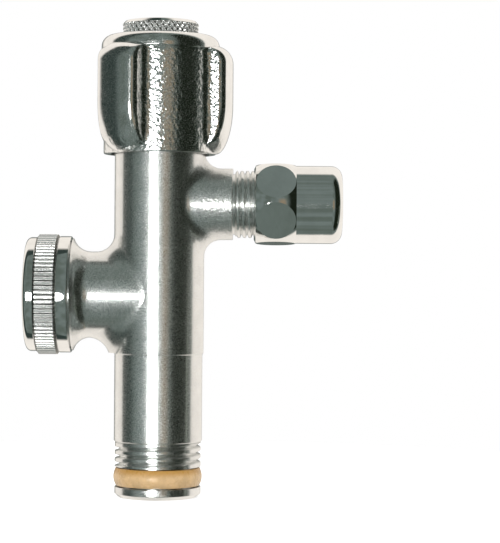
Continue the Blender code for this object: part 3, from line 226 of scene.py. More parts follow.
# Cap
CAP_BOTTOM = 109.55
CAP_TOP = 115.65
CAP_ROOF = 114.35
CAP_RADIUS = 9.25
CAP_BORE_RADIUS = 7.9
CAP_FOOT_RADIUS = 8.6
CAP_TOP_RADIUS = 8.55
CAP_KNURL = (110.2, 114.9)
CAP_KNURL_SKIN = 0.2
CAP_DIAMONDS = 39
CAP_GROOVE = 0.42
CAP_CROSS_GROOVE = 0.2
CAP_KNURL_PITCH = 1.8

TO_HOSE = Matrix.Translation((0, 0, HOSE_HEIGHT)) @ Matrix.Rotation(-pi / 2, 4, "Y")
TO_PIPE = Matrix.Translation((0, 0, PIPE_HEIGHT)) @ Matrix.Rotation(pi / 2, 4, "Y")


# Outlines


def arc(centre, radius, start, end, steps):
    turns = [radians(start + (end - start) * i / steps) for i in range(steps + 1)]
    return [(centre[0] + radius * cos(a), centre[1] + radius * sin(a)) for a in turns]


def rounded(corners, steps=5):
    """Round the corners of an outline; each corner is (radius, height, rounding)."""
    points = []
    for i, (x, y, rounding) in enumerate(corners):
        if not rounding or i in (0, len(corners) - 1):
            points.append((x, y))
            continue
        here = Vector((x, y))
        before = (Vector(corners[i - 1][:2]) - here).normalized()
        after = (Vector(corners[i + 1][:2]) - here).normalized()
        half = acos(max(-1, min(1, before.dot(after)))) / 2
        reach = rounding / abs(sin(half) / cos(half))
        centre = here + (before + after).normalized() * rounding / sin(half)
        first, last = here + before * reach - centre, here + after * reach - centre
        span = acos(max(-1, min(1, first.dot(last) / rounding**2)))
        for k in range(steps + 1):
            share = k / steps
            point = (sin((1 - share) * span) * first + sin(share * span) * last) / sin(span)
            points.append(tuple(centre + point))
    return points


def fine(points, step):
    """Add points so that no stretch of the outline is longer than the step."""
    result = [points[0]]
    for a, b in zip(points, points[1:]):
        count = max(1, int(hypot(b[0] - a[0], b[1] - a[1]) / step + 0.999))
        for i in range(1, count + 1):
            result.append((a[0] + (b[0] - a[0]) * i / count, a[1] + (b[1] - a[1]) * i / count))
    return result


def stretch(start, end, count):
    """Heights in equal steps up to the end, without the start."""
    return [start + (end - start) * i / count for i in range(1, count + 1)]


def smooth(share):
    share = max(0, min(1, share))
    return share * share * (3 - 2 * share)


# Meshes


def spun(outline, sides, turn=0):
    shape = bmesh.new()
    line = [shape.verts.new((r * cos(turn), r * sin(turn), z)) for r, z in outline]
    edges = [shape.edges.new(pair) for pair in zip(line, line[1:])]
    if outline[0][0] > 0:
        edges.append(shape.edges.new((line[-1], line[0])))
    bmesh.ops.spin(
        shape, geom=line + edges, axis=(0, 0, 1), cent=(0, 0, 0), angle=tau, steps=sides, use_merge=True
    )
    bmesh.ops.remove_doubles(shape, verts=shape.verts, dist=WELD_DISTANCE)
    return shape


def draped(columns, rows, place):
    """A grid whose columns run round and whose rows run along, each point set by place."""
    shape = bmesh.new()
    bmesh.ops.create_grid(shape, x_segments=columns, y_segments=rows, size=1)
    for point in shape.verts:
        column = round((point.co.x + 1) / 2 * columns)
        row = round((point.co.y + 1) / 2 * rows)
        point.co = place(column % columns, row)
    bmesh.ops.remove_doubles(shape, verts=shape.verts, dist=WELD_DISTANCE)
    return shape


def tooth(position):
    """A wave of straight flanks: 0 at whole numbers, 1 halfway."""
    return 1 - abs(2 * (position % 1) - 1)


def wave(position, depth):
    """A round wave: as deep as depth at whole numbers, 0 halfway."""
    return depth * (1 + cos(tau * position)) / 2


def thread_rise(position):
    """A tooth with a flat root and a flat crest, from 0 to 1."""
    return smooth((tooth(position) - THREAD_ROOT_FLAT) / (1 - THREAD_ROOT_FLAT - THREAD_CREST_FLAT))


def sink(point, depth):
    """Move a point of a shape towards the shape's axis."""
    r = hypot(point.co.x, point.co.y)
    point.co.x *= (r - depth) / r
    point.co.y *= (r - depth) / r


def helix(shape, span, crest, root, pitch, run_out):
    """Cut a helical thread into the plain surface between two heights."""
    for point in shape.verts:
        z = point.co.z
        if not (span[0] < z < span[1]) or hypot(point.co.x, point.co.y) < root - 0.3:
            continue
        edge = min(1, (z - span[0]) / run_out, (span[1] - z) / run_out)
        turn = atan2(point.co.y, point.co.x) / tau
        sink(point, (crest - root) * (1 - thread_rise(z / pitch - turn)) * edge)


def knurl(shape, span, inner_radius, shade_radius, depth_at):
    """
    Sink a pattern into the surface outside a radius, between two heights. Its faces take the second
    material, and those deeper than the groove radius take the third, a darker finish of painted shade.
    """
    low, high = span
    for face in shape.faces:
        middle = face.calc_center_median()
        face.material_index = int(low < middle.z < high and middle.xy.length > inner_radius)
    for point in shape.verts:
        r = hypot(point.co.x, point.co.y)
        if r > inner_radius and low < point.co.z < high:
            sink(point, depth_at(atan2(point.co.y, point.co.x) / tau, point.co.z, r))
    for face in shape.faces:
        if face.material_index == 1 and face.calc_center_median().xy.length < shade_radius:
            face.material_index = 2


def piece(name, shape, matrix=None, materials=()):
    """Finish a mesh built in millimetres and place it, in metres."""
    if matrix:
        bmesh.ops.transform(shape, matrix=matrix, verts=shape.verts)
    bmesh.ops.scale(shape, vec=(MM, MM, MM), verts=shape.verts)
    bmesh.ops.recalc_face_normals(shape, faces=shape.faces)
    item = linked(name, shape)
    for material in materials:
        item.data.materials.append(material)
    return item


def linked(name, shape):
    """Put a mesh in the scene as it is."""
    mesh = bpy.data.meshes.new(name)
    shape.to_mesh(mesh)
    shape.free()
    item = bpy.data.objects.new(name, mesh)
    bpy.context.scene.collection.objects.link(item)
    return item


def combined(item, guides):
    """Apply Booleans of (guide, operation) and remove the guides."""
    for guide, operation in guides:
        step = item.modifiers.new(guide.name, "BOOLEAN")
        step.operation = operation
        step.object = guide
        step.material_mode = "TRANSFER"
    graph = bpy.context.evaluated_depsgraph_get()
    mesh = bpy.data.meshes.new_from_object(item.evaluated_get(graph))
    item.modifiers.clear()
    item.data = mesh
    for guide, operation in guides:
        bpy.data.objects.remove(guide, do_unlink=True)
    return item


def smoothed(item, angle):
    """Shade smooth, with sharp edges above an angle in degrees."""
    mesh = item.data
    mesh.shade_smooth()
    mesh.set_sharp_from_angle(angle=radians(angle))
    step = item.modifiers.new("even_shading", "WEIGHTED_NORMAL")
    step.keep_sharp = True
    step.weight = 50
    return item


def put(item, body, node):
    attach(item, body)
    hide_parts(node)


# Nodes of materials and of the world

GENERATED = 0
OBJECT = 3


class Socket:
    """A shader socket that takes part in arithmetic."""

    def __init__(self, shader, link):
        self.shader = shader
        self.link = link

    def maths(self, operation, *values):
        return self.shader.node("ShaderNodeMath", dict(operation=operation), *values)

    def __add__(self, other):
        return self.maths("ADD", self, other)

    def __sub__(self, other):
        return self.maths("SUBTRACT", self, other)

    def __rsub__(self, other):
        return self.maths("SUBTRACT", other, self)

    def __mul__(self, other):
        return self.maths("MULTIPLY", self, other)

    def __truediv__(self, other):
        return self.maths("DIVIDE", self, other)

    def ramp(self, low, high):
        """0 below low, 1 above high, and smooth between them."""
        settings = dict(interpolation_type="SMOOTHSTEP", clamp=True)
        return self.shader.node("ShaderNodeMapRange", settings, self, low, high, 0.0, 1.0)

    __radd__ = __add__
    __rmul__ = __mul__


class Shader:
    """The nodes of one material or of the world."""

    def __init__(self, owner):
        owner.use_nodes = True
        self.tree = owner.node_tree
        for node in self.tree.nodes:
            if node.type in ("BSDF_PRINCIPLED", "BACKGROUND"):
                self.surface = node

    def set(self, socket, value):
        """Link an input, or give it a plain value."""
        if isinstance(value, Socket):
            self.tree.links.new(value.link, socket)
        else:
            socket.default_value = value

    def node(self, kind, settings, *values, output=0, **named):
        node = self.tree.nodes.new(kind)
        for key, value in settings.items():
            setattr(node, key, value)
        for key, value in enumerate(values):
            self.set(node.inputs[key], value)
        for key, value in named.items():
            self.set(node.inputs[key], value)
        return Socket(self, node.outputs[output])

    def feed(self, name, value):
        self.set(self.surface.inputs[name], value)

    def mix(self, share, low, high):
        node = self.tree.nodes.new("ShaderNodeMix")
        node.data_type = "RGBA"
        for index, value in ((0, share), (6, low), (7, high)):
            self.set(node.inputs[index], value)
        return Socket(self, node.outputs[2])

    def place(self, kind=OBJECT):
        return self.node("ShaderNodeTexCoord", {}, output=kind)

    def parts(self, place):
        """The three parts of a place or direction."""
        split = self.tree.nodes.new("ShaderNodeSeparateXYZ")
        self.tree.links.new(place.link, split.inputs[0])
        return [Socket(self, output) for output in split.outputs]

    def noise(self, scale, detail=2.0):
        return self.node("ShaderNodeTexNoise", {}, Vector=self.place(), Scale=scale, Detail=detail)

    def bump(self, height, distance):
        return self.node("ShaderNodeBump", {}, Height=height, Distance=distance)

    def ray(self, name):
        path = self.tree.nodes.new("ShaderNodeLightPath")
        return Socket(self, path.outputs[name])


def colour(r, g, b):
    """A screen colour, 0 to 255, as linear light."""
    return tuple((c / 255) ** 2.2 for c in (r, g, b)) + (1,)


# Materials; places and depths in them are in metres

CLOUD_RANGE = (0.3, 0.7)
METAL_CLOUD_SCALE = 260.0
METAL_CLOUD_SHADE = 0.93
SOFT_CLOUD_SCALE = 420.0
POLISH_SCALE = 900.0
METAL_POLISH_SPREAD = 0.03
SOFT_POLISH_SPREAD = 0.15
SPECK_SOFTNESS = 0.05
DULL_ROUGHNESS = 0.12


def clouded(shader, tint, shade, scale):
    """A tint with faint clouds of a darker shade."""
    dark = tuple(c * shade for c in tint[:3]) + (1,)
    return shader.mix(shader.noise(scale, 3.0).ramp(*CLOUD_RANGE), dark, tint)


def metal(name, tint, roughness, grain, haze=None, dull=None, metallic=1.0):
    """
    A bright metal; grain is a list of (noise scale, depth, where it is felt), haze is the roughness,
    noise scale and threshold of the fine specks in the polish, and dull says where it is rougher.
    """
    material = bpy.data.materials.new(name)
    shader = Shader(material)
    shader.feed("Metallic", metallic)
    shader.feed("Base Color", clouded(shader, tint, METAL_CLOUD_SHADE, METAL_CLOUD_SCALE))
    polish = roughness + shader.noise(POLISH_SCALE) * METAL_POLISH_SPREAD
    if dull:
        polish = polish + dull(shader) * DULL_ROUGHNESS
    if haze:
        dullness, scale, threshold = haze
        specks = shader.noise(scale).ramp(threshold - SPECK_SOFTNESS, threshold + SPECK_SOFTNESS)
        polish = polish + specks * (dullness - roughness)
    shader.feed("Roughness", polish)
    height = 0.0
    for scale, depth, where in grain:
        layer = shader.noise(scale) * depth
        if where:
            layer = layer * where(shader)
        height = layer + height
    shader.feed("Normal", shader.bump(height, 1.0))
    return material


def moulded(name, tint, roughness, grain=1500.0, grain_depth=0.00002, shade=0.8, upper_shade=None):
    """A soft or plastic material; its last argument is (low, high, colour) of painted shade that darkens it
    upward.
    """
    material = bpy.data.materials.new(name)
    shader = Shader(material)
    base = clouded(shader, tint, shade, SOFT_CLOUD_SCALE)
    # Painted shade: the colour turns to a darker one upward between two heights
    if upper_shade:
        low, high, shaded_tint = upper_shade
        z = shader.parts(shader.place())[2]
        base = shader.mix(z.ramp(low * MM, high * MM), base, shaded_tint)
    shader.feed("Base Color", base)
    shader.feed("Roughness", roughness + (shader.noise(POLISH_SCALE) - 0.5) * SOFT_POLISH_SPREAD)
    shader.feed("Normal", shader.bump(shader.noise(grain, 3.0), grain_depth))
    return material


def on_pipe_neck(shader):
    x = shader.parts(shader.place())[0]
    return x.ramp(8 * MM, 13 * MM) * (1 - x.ramp((PIPE_NECK_END - 0.2) * MM, PIPE_NECK_END * MM))


def between_lobes(shader):
    x, y, z = shader.parts(shader.place())
    out = shader.node("ShaderNodeMath", dict(operation="SQRT"), x * x + y * y)
    below_crown = 1 - z.ramp((CROWN_STEP - 1) * MM, CROWN_STEP * MM)
    return (1 - out.ramp(16.4 * MM, 17.0 * MM)) * below_crown


BRIGHT = (0.87, 0.875, 0.86, 1)
FINE_GRAIN = [(2500.0, 0.000004, None)]
TURNED_GRAIN = [(1800.0, 0.00001, None)]

CHROME = metal("polished_chrome", BRIGHT, 0.05, [(420.0, 0.000012, None)])
CAST_CHROME = metal(
    "satin_chrome", BRIGHT, 0.1, [(900.0, 0.000008, None), (1400.0, 0.00011, on_pipe_neck)],
    haze=(0.38, 9000.0, 0.51), dull=on_pipe_neck,
)
HANDLE_CHROME = metal(
    "chrome_over_cast_zinc", BRIGHT, 0.06, [(300.0, 0.000015, None), (1150.0, 0.00014, between_lobes)],
    haze=(0.35, 9000.0, 0.6),
)
KNURLED_CHROME = metal("knurled_chrome", BRIGHT, 0.22, FINE_GRAIN, metallic=0.75)
# Painted shade: a dark chrome for the faces deep in the knurls' grooves, where shade falls
GROOVE_SHADE_CHROME = metal("painted_groove_shade_chrome", (0.3, 0.3, 0.28, 1), 0.35, FINE_GRAIN)
BRASS = metal("raw_brass", (0.78, 0.57, 0.28, 1), 0.24, TURNED_GRAIN)
STEEL = metal("bright_steel", (0.62, 0.62, 0.62, 1), 0.25, TURNED_GRAIN)
# Painted shade: the top of the ring darkens to a deeper brown
SEAL = moulded(
    "brown_sealing_ring", colour(212, 178, 132), 0.28, 700.0, 0.00004, upper_shade=(5.2, 6.9, colour(176, 134, 72))
)
INNER_SEAL = moulded("brown_seal_inside", colour(190, 150, 96), 0.35, 700.0, 0.00004)
RUBBER = moulded("black_rubber", (0.02, 0.02, 0.021, 1), 0.55)
PLASTIC = moulded("white_plastic", (0.8, 0.8, 0.76, 1), 0.4, shade=0.93)


# The casting, its sealing ring and the check valve's spring


def hose_outline():
    rise = HOSE_COLLAR_RADIUS - HOSE_WAIST_RADIUS
    sweep = degrees(acos(1 - rise / HOSE_FLARE_RADIUS))
    centre = (HOSE_WAIST_RADIUS + HOSE_FLARE_RADIUS, HOSE_FLARE_START)
    return arc(centre, HOSE_FLARE_RADIUS, 180, 180 - sweep, 12) + [
        (HOSE_COLLAR_RADIUS, HOSE_COLLAR_FACE - HOSE_COLLAR_CHAMFER),
        (HOSE_COLLAR_RADIUS - HOSE_COLLAR_CHAMFER, HOSE_COLLAR_FACE),
        (HOSE_THREAD_RADIUS, HOSE_COLLAR_FACE),
        (HOSE_THREAD_RADIUS, OUTLET_END - OUTLET_CHAMFER),
        (HOSE_THREAD_RADIUS - OUTLET_CHAMFER, OUTLET_END),
    ]


def pipe_outline():
    points = rounded(
        [
            (PIPE_NECK_RADIUS, PIPE_NECK_START, 0),
            (PIPE_NECK_RADIUS, PIPE_NECK_END, 0.25),
            (PIPE_ROOT_RADIUS, PIPE_NECK_END, 0.1),
            (PIPE_ROOT_RADIUS, PIPE_THREAD_START, 0),
            (PIPE_CREST_RADIUS, PIPE_THREAD_START + PIPE_THREAD_LEAD, 0),
            (PIPE_CREST_RADIUS, PIPE_CREST_END, 0),
            (PIPE_ROOT_RADIUS, PIPE_THREAD_END, 0),
            (PIPE_ROOT_RADIUS, OUTLET_END, 0),
        ]
    )
    return fine(points, PIPE_THREAD_STEP)


def branch(outline, sides, waist, fillet_at, draft_at):
    """A branch along Z off the tube along X, with a ball rolled round the corner between them."""
    lines = []
    for j in range(sides):
        angle = tau * j / sides
        fillet = fillet_at(angle)
        tube = TUBE_RADIUS - 0.012 + draft_at(angle)
        reach = waist + fillet
        side = reach * sin(angle)
        centre = Vector((reach * cos(angle), side, sqrt((tube + fillet) ** 2 - side**2)))
        to_tube = -Vector((0, centre.y, centre.z)).normalized()
        to_branch = -Vector((cos(angle), sin(angle), 0))
        opening = acos(max(-1, min(1, to_tube.dot(to_branch))))
        contact = centre + fillet * to_tube
        line = [Vector((contact.x, contact.y / 2, contact.z / 2)), contact]
        for i in range(1, FILLET_STEPS + 1):
            share = i / FILLET_STEPS
            blend = (sin((1 - share) * opening) * to_tube + sin(share * opening) * to_branch) / sin(opening)
            line.append(centre + fillet * blend)
        line += [Vector((r * cos(angle), r * sin(angle), h)) for r, h in outline]
        lines.append(line)
    rows = len(lines[0])
    low = sum((line[0] for line in lines), Vector()) / sides
    high = Vector((0, 0, outline[-1][1]))

    def place(column, row):
        if row == 0:
            return low
        return high if row > rows else lines[column][row - 1]

    return draped(sides, rows + 1, place)


def inlet_tube():
    """The tube with the inlet's thread and the sealing ring's groove."""
    outline = rounded(
        [
            (0, 0, 0),
            (INLET_END_RADIUS, 0, 0.15),
            (INLET_CREST_RADIUS, INLET_LEAD_HEIGHT, 0.2),
            (INLET_CREST_RADIUS, SEAL_GROOVE[0], 0.1),
            (SEAL_GROOVE_RADIUS, SEAL_GROOVE[0], 0),
            (SEAL_GROOVE_RADIUS, SEAL_GROOVE[1], 0),
            (INLET_CREST_RADIUS, SEAL_GROOVE[1], 0),
            (INLET_CREST_RADIUS, INLET_THREAD_TOP, 0),
            (LOWER_TUBE_RADIUS - THREAD_NECK_DEPTH, INLET_THREAD_TOP, 0),
            (TUBE_RADIUS, INLET_THREAD_TOP + THREAD_NECK_HEIGHT, 0),
            (TUBE_RADIUS, BODY_TOP, 0.4),
            (0, BODY_TOP, 0),
        ]
    )
    low = [p for p in outline if p[1] <= INLET_THREAD_TOP]
    high = [p for p in outline if p[1] > INLET_THREAD_TOP]
    shape = spun(fine(low, THREAD_STEP) + fine(high, PLAIN_STEP), BODY_SIDES)
    span = (SEAL_GROOVE[1], INLET_THREAD_TOP)
    helix(shape, span, INLET_CREST_RADIUS, INLET_ROOT_RADIUS, INLET_PITCH, INLET_RUN_OUT)
    return shape


def hose_branch():
    def fillet_at(angle):
        return HOSE_FILLET + (HOSE_LOWER_FILLET - HOSE_FILLET) * max(0, -cos(angle))

    def draft_at(angle):
        return HOSE_LOWER_DRAFT * max(0, -cos(angle)) ** HOSE_DRAFT_POWER

    return branch(hose_outline(), BODY_SIDES, HOSE_WAIST_RADIUS, fillet_at, draft_at)


def pipe_branch():
    shape = branch(pipe_outline(), PIPE_BRANCH_SIDES, PIPE_NECK_RADIUS, lambda a: PIPE_FILLET, lambda a: 0)
    span = (PIPE_THREAD_START + PIPE_RUN_OUT, PIPE_THREAD_END)
    helix(shape, span, PIPE_CREST_RADIUS, PIPE_ROOT_RADIUS, PIPE_PITCH, PIPE_RUN_OUT)
    return shape


def lathe():
    """What is turned off the tube below the step."""
    bottom = INLET_THREAD_TOP + 0.02
    outline = [
        (LOWER_TUBE_RADIUS, bottom),
        (LATHE_REACH, bottom),
        (LATHE_REACH, STEP_HEIGHT),
        (TUBE_RADIUS + 0.05, STEP_HEIGHT),
        (LOWER_TUBE_RADIUS, STEP_HEIGHT - STEP_CHAMFER),
    ]
    return spun(outline, BODY_SIDES, LATHE_TURN)


def casting():
    body = piece("body_casting", inlet_tube(), materials=(CAST_CHROME, BRASS))
    waterway = spun(WATERWAY, BORE_SIDES, WATERWAY_TURN)
    hose_bore = spun(HOSE_BORE, BORE_SIDES, HOSE_BORE_TURN)
    pipe_bore = spun(PIPE_BORE, BORE_SIDES, PIPE_BORE_TURN)
    guides = [
        (piece("hose_guide", hose_branch(), TO_HOSE, (CAST_CHROME,)), "UNION"),
        (piece("pipe_guide", pipe_branch(), TO_PIPE, (CAST_CHROME,)), "UNION"),
        (piece("lathe_guide", lathe(), None, (CAST_CHROME,)), "DIFFERENCE"),
        (piece("water_guide", waterway, None, (BRASS,)), "DIFFERENCE"),
        (piece("hose_bore_guide", hose_bore, TO_HOSE, (BRASS,)), "DIFFERENCE"),
        (piece("pipe_bore_guide", pipe_bore, TO_PIPE, (BRASS,)), "DIFFERENCE"),
    ]
    put(smoothed(combined(body, guides), 32), "valve", "valve_body")


def seal_ring():
    low, high = SEAL_GROOVE[0] + SEAL_GAP, SEAL_GROOVE[1] - SEAL_GAP
    half = (high - low) / 2
    curve = (half**2 + SEAL_BULGE**2) / (2 * SEAL_BULGE)
    sweep = degrees(acos(1 - SEAL_BULGE / curve))
    outline = [(SEAL_INNER_RADIUS, low), (SEAL_EDGE_RADIUS, low)]
    outline += arc((SEAL_OUTER_RADIUS - curve, low + half), curve, -sweep, sweep, 14)
    outline += [(SEAL_EDGE_RADIUS, high), (SEAL_INNER_RADIUS, high)]
    item = piece("sealing_ring", spun(outline, RING_SIDES), materials=(SEAL,))
    put(smoothed(item, 40), "valve", "inlet_seal_ring")


def check_valve_spring():
    """The spring in the hose outlet, between the poppet and its guide, which shortens it as the poppet
    opens; the coil is built at one length.
    """
    low, high = SPRING_ENDS[0] + SPRING_WIRE_RADIUS, SPRING_ENDS[1] - SPRING_WIRE_RADIUS

    def place(column, row):
        share = max(0, min(1, (row - 1) / WIRE_STEPS))
        turn = tau * SPRING_TURNS * share
        out = Vector((cos(turn), sin(turn), 0))
        middle = SPRING_RADIUS * out + Vector((0, 0, low + (high - low) * share))
        if row in (0, WIRE_STEPS + 2):
            return middle
        a = tau * column / WIRE_SIDES
        return middle + SPRING_WIRE_RADIUS * (cos(a) * out + Vector((0, 0, sin(a))))

    wire = draped(WIRE_SIDES, WIRE_STEPS + 2, place)
    item = smoothed(piece("check_valve_coil", wire, TO_HOSE, (STEEL,)), 60)
    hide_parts("check_valve_spring")
    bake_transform(item)


# The nuts


def union_nut():
    low, high = KNURL_SPAN
    outline = rounded(
        [
            (NUT_BORE_RADIUS, NUT_THREAD_START, 0),
            (NUT_BORE_RADIUS, NUT_START, 0.1),
            (NUT_REAR_RADIUS, NUT_START, 0.3),
            (NUT_REAR_RADIUS, NUT_REAR_END, 0.12),
            (13.7, 24.0, 0.1),
            (KNURL_FOOT_RADIUS, low, 0),
            (KNURL_RADIUS, low + KNURL_CHAMFER, 0.1),
            (KNURL_RADIUS, high - KNURL_CHAMFER, 0.1),
            (KNURL_FOOT_RADIUS, high, 0),
            (NUT_FRONT_RADIUS, high + 0.1, 0),
            (NUT_FRONT_RADIUS, NUT_END, 1.15),
            (NUT_MOUTH_RADIUS, NUT_END, 0.3),
            (NUT_MOUTH_RADIUS, NUT_FLOOR, 0.1),
            (NUT_BORE_RADIUS, NUT_FLOOR, 0.1),
            (NUT_BORE_RADIUS, NUT_THREAD_START, 0),
        ],
        6,
    )[:-1]
    shape = spun(outline, KNURL_STEPS * KNURL_TEETH)

    def depth_at(turn, z, r):
        flank = min(1, tooth(turn * KNURL_TEETH) / KNURL_CREST_START)
        return KNURL_DEPTH * (1 - sin(pi / 2 * flank)) * min(1, (r - KNURL_INNER_RADIUS) / KNURL_FADE)

    # Faces deep in the grooves take the painted shade
    knurl(shape, KNURL_SPAN, KNURL_INNER_RADIUS, KNURL_RADIUS - KNURL_SHADE_DEPTH, depth_at)
    item = piece("knurled_union_nut", shape, TO_HOSE, (CHROME, KNURLED_CHROME, GROOVE_SHADE_CHROME))
    put(smoothed(item, 24), "union_nut_group", "union_nut")


def compression_nut():
    sweep = degrees(acos(PIPE_NUT_RADIUS / PIPE_NUT_BALL_RADIUS))
    ball = arc((0, PIPE_NUT_BALL_CENTRE), PIPE_NUT_BALL_RADIUS, -sweep, sweep, PIPE_NUT_BALL_STEPS)
    end = PIPE_NUT_END
    barrel_end = end - PIPE_NUT_ROUNDING
    outline = rounded(
        [
            (PIPE_NUT_BORE_RADIUS, PIPE_NUT_START + 0.3, 0),
            (PIPE_NUT_BORE_RADIUS, PIPE_NUT_START, 0.1),
            (PIPE_NUT_BORE_RADIUS + 0.2, PIPE_NUT_START, 0.15),
            ball[0] + (0,),
        ],
        3,
    )
    outline += ball[1:]
    outline += fine([ball[-1], (PIPE_NUT_RADIUS, barrel_end)], 1.5)[1:]
    outline += arc((PIPE_NUT_RADIUS - PIPE_NUT_ROUNDING, barrel_end), PIPE_NUT_ROUNDING, 0, 90, 16)[1:]
    mouth = [(PIPE_NUT_RADIUS - PIPE_NUT_ROUNDING, end, 0), (PIPE_NUT_MOUTH_RADIUS, end, 0.15)]
    outline += rounded(mouth + PIPE_NUT_BORE)[1:]
    shape = spun(outline, BODY_SIDES)
    for i in range(6):
        angle = PIPE_NUT_FLAT_TURN + i * tau / 6
        normal = Vector((cos(angle), sin(angle), 0))
        geometry = shape.verts[:] + shape.edges[:] + shape.faces[:]
        done = bmesh.ops.bisect_plane(
            shape, geom=geometry, dist=0.0001, plane_co=normal * PIPE_NUT_HALF_FLATS, plane_no=normal,
            clear_outer=True,
        )
        rim = [part for part in done["geom_cut"] if isinstance(part, bmesh.types.BMEdge)]
        bmesh.ops.edgeloop_fill(shape, edges=rim)
    item = piece("compression_coupling_nut", shape, TO_PIPE, (CHROME,))
    put(smoothed(item, 20), "compression_nut_group", "compression_nut")


# The handle and its cap


def lobe_rise(across, z):
    """How much of a lobe's full height it has at a height, 0 to 1; across is 0 at its middle."""
    foot = LOBE_FOOT_LENGTH[0] - LOBE_FOOT_LENGTH[1] * across**2
    head = LOBE_HEAD_LENGTH[0] - LOBE_HEAD_LENGTH[1] * across**2
    past = max((LOBE_FOOT - z) / foot, (z - LOBE_HEAD) / head, 0)
    return sqrt(max(0, 1 - past**2))


def blunt_max(a, b):
    return (a + b + sqrt((a - b) ** 2 + CROWN_BLEND**2)) / 2


def crown_radius(z):
    if z < CROWN_SHOULDER:
        step = smooth((z - CROWN_STEP + CROWN_STEP_SPAN / 2) / CROWN_STEP_SPAN)
        return CORE_RADIUS + (CROWN_RADIUS - CORE_RADIUS) * step
    up = min(1, (z - CROWN_SHOULDER) / (HANDLE_TOP - CROWN_SHOULDER))
    return CROWN_TOP_RADIUS + (CROWN_RADIUS - CROWN_TOP_RADIUS) * sqrt(1 - up**2)


def lobe_section(z):
    """Half of a lobe's section as (distance along the lobe, distance across it), root to middle."""

    def core(t):
        return sqrt(CORE_RADIUS**2 - t**2)

    def face(t):
        share = t / LOBE_HALF_WIDTH
        return (LOBE_TIP_RADIUS - LOBE_CROWNING * share**2 - core(t)) * lobe_rise(share, z)

    edge = face(LOBE_HALF_WIDTH)
    rounding = min(LOBE_EDGE, edge / 3)
    reach = LOBE_HALF_WIDTH + ROOT_FILLET
    centre = sqrt((CORE_RADIUS + ROOT_FILLET) ** 2 - reach**2)
    fullness = min(1, edge / FULL_FILLET_EDGE)
    points = []
    for i in range(11):
        a = atan2(centre, reach) * (1 - i / 10)
        t = reach - ROOT_FILLET * cos(a)
        points.append((core(t) + (centre - ROOT_FILLET * sin(a) - core(t)) * fullness, t))
    fillet = points[-1][0] - core(LOBE_HALF_WIDTH)
    for i in range(1, 5):
        rise = fillet + (edge - rounding - fillet) * i / 5
        points.append((core(LOBE_HALF_WIDTH) + rise, LOBE_HALF_WIDTH))
    for i in range(7):
        b = pi / 2 * i / 6
        t = LOBE_HALF_WIDTH - rounding * (1 - cos(b))
        points.append((core(t) + face(t) - rounding * (1 - sin(b)), t))
    inner = LOBE_HALF_WIDTH - rounding
    points += [(core(t) + face(t), t) for t in (inner * (1 - i / 9) for i in range(1, 10))]
    return points


def handle_ring(z):
    half = lobe_section(z)
    across = [(along, -t) for along, t in half] + [(along, t) for along, t in reversed(half[:-1])]
    floor = crown_radius(z)
    root = atan2(half[0][1], half[0][0])
    ring = []
    for lobe in LOBE_ANGLES:
        for along, t in across:
            r = hypot(along, t)
            if z > CROWN_SHOULDER + 0.1:
                r = floor
            elif z > CROWN_STEP - 0.5:
                r = blunt_max(r, floor)
            a = lobe + atan2(t, along)
            ring.append(Vector((r * cos(a), r * sin(a), z)))
        span = tau / 3 - 2 * root
        for i in range(1, VALLEY_STEPS):
            a = lobe + root + span * i / VALLEY_STEPS
            ring.append(Vector((floor * cos(a), floor * sin(a), z)))
    return ring


def handle_rings():
    """Rings of points round the handle, from its rounded lower edge up over its crown."""
    quarter = [pi / 2 * i / HANDLE_BOTTOM_STEPS for i in range(HANDLE_BOTTOM_STEPS + 1)]
    crown_start = CROWN_STEP - 0.2
    heights = [HANDLE_BOTTOM + HANDLE_BOTTOM_ROUNDING * (1 - cos(a)) for a in quarter]
    heights += stretch(HANDLE_BOTTOM + HANDLE_BOTTOM_ROUNDING, LOBE_FOOT, 40)
    heights += stretch(LOBE_FOOT, LOBE_HEAD, 8)
    heights += stretch(LOBE_HEAD, crown_start, 16)
    heights += stretch(crown_start, CROWN_SHOULDER, 16)
    heights += [CROWN_SHOULDER + (HANDLE_TOP - CROWN_SHOULDER) * sin(a) for a in stretch(0, pi / 2, 14)]
    rings = [handle_ring(z) for z in heights]
    for ring, a in zip(rings, quarter):
        inset = HANDLE_BOTTOM_ROUNDING * (1 - sin(a))
        for point in ring:
            share = 1 - inset / point.xy.length
            point.x, point.y = point.x * share, point.y * share
    return rings


def handle():
    rings = handle_rings()

    def place(column, row):
        if row == 0:
            return Vector((0, 0, HANDLE_BOTTOM))
        return Vector((0, 0, HANDLE_TOP)) if row > len(rings) else rings[row - 1][column]

    outside = draped(len(rings[0]), len(rings) + 1, place)
    item = piece("lobed_handle", outside, materials=(HANDLE_CHROME, BRASS))
    skirt = spun(HANDLE_SKIRT, HANDLE_BORE_SIDES, SKIRT_TURN)
    recess = spun(HANDLE_RECESS, HANDLE_BORE_SIDES, RECESS_TURN)
    corner = DRIVE_HALF_FLATS / cos(pi / 6)
    low, high = DRIVE_SPAN
    drive = spun([(0, low), (corner, low), (corner, high), (0, high)], 6, DRIVE_TURN)
    shapes = (("skirt_guide", skirt), ("recess_guide", recess), ("drive_guide", drive))
    guides = [(piece(name, shape, None, (HANDLE_CHROME,)), "DIFFERENCE") for name, shape in shapes]
    put(smoothed(combined(item, guides), 30), "handle_group", "handle")


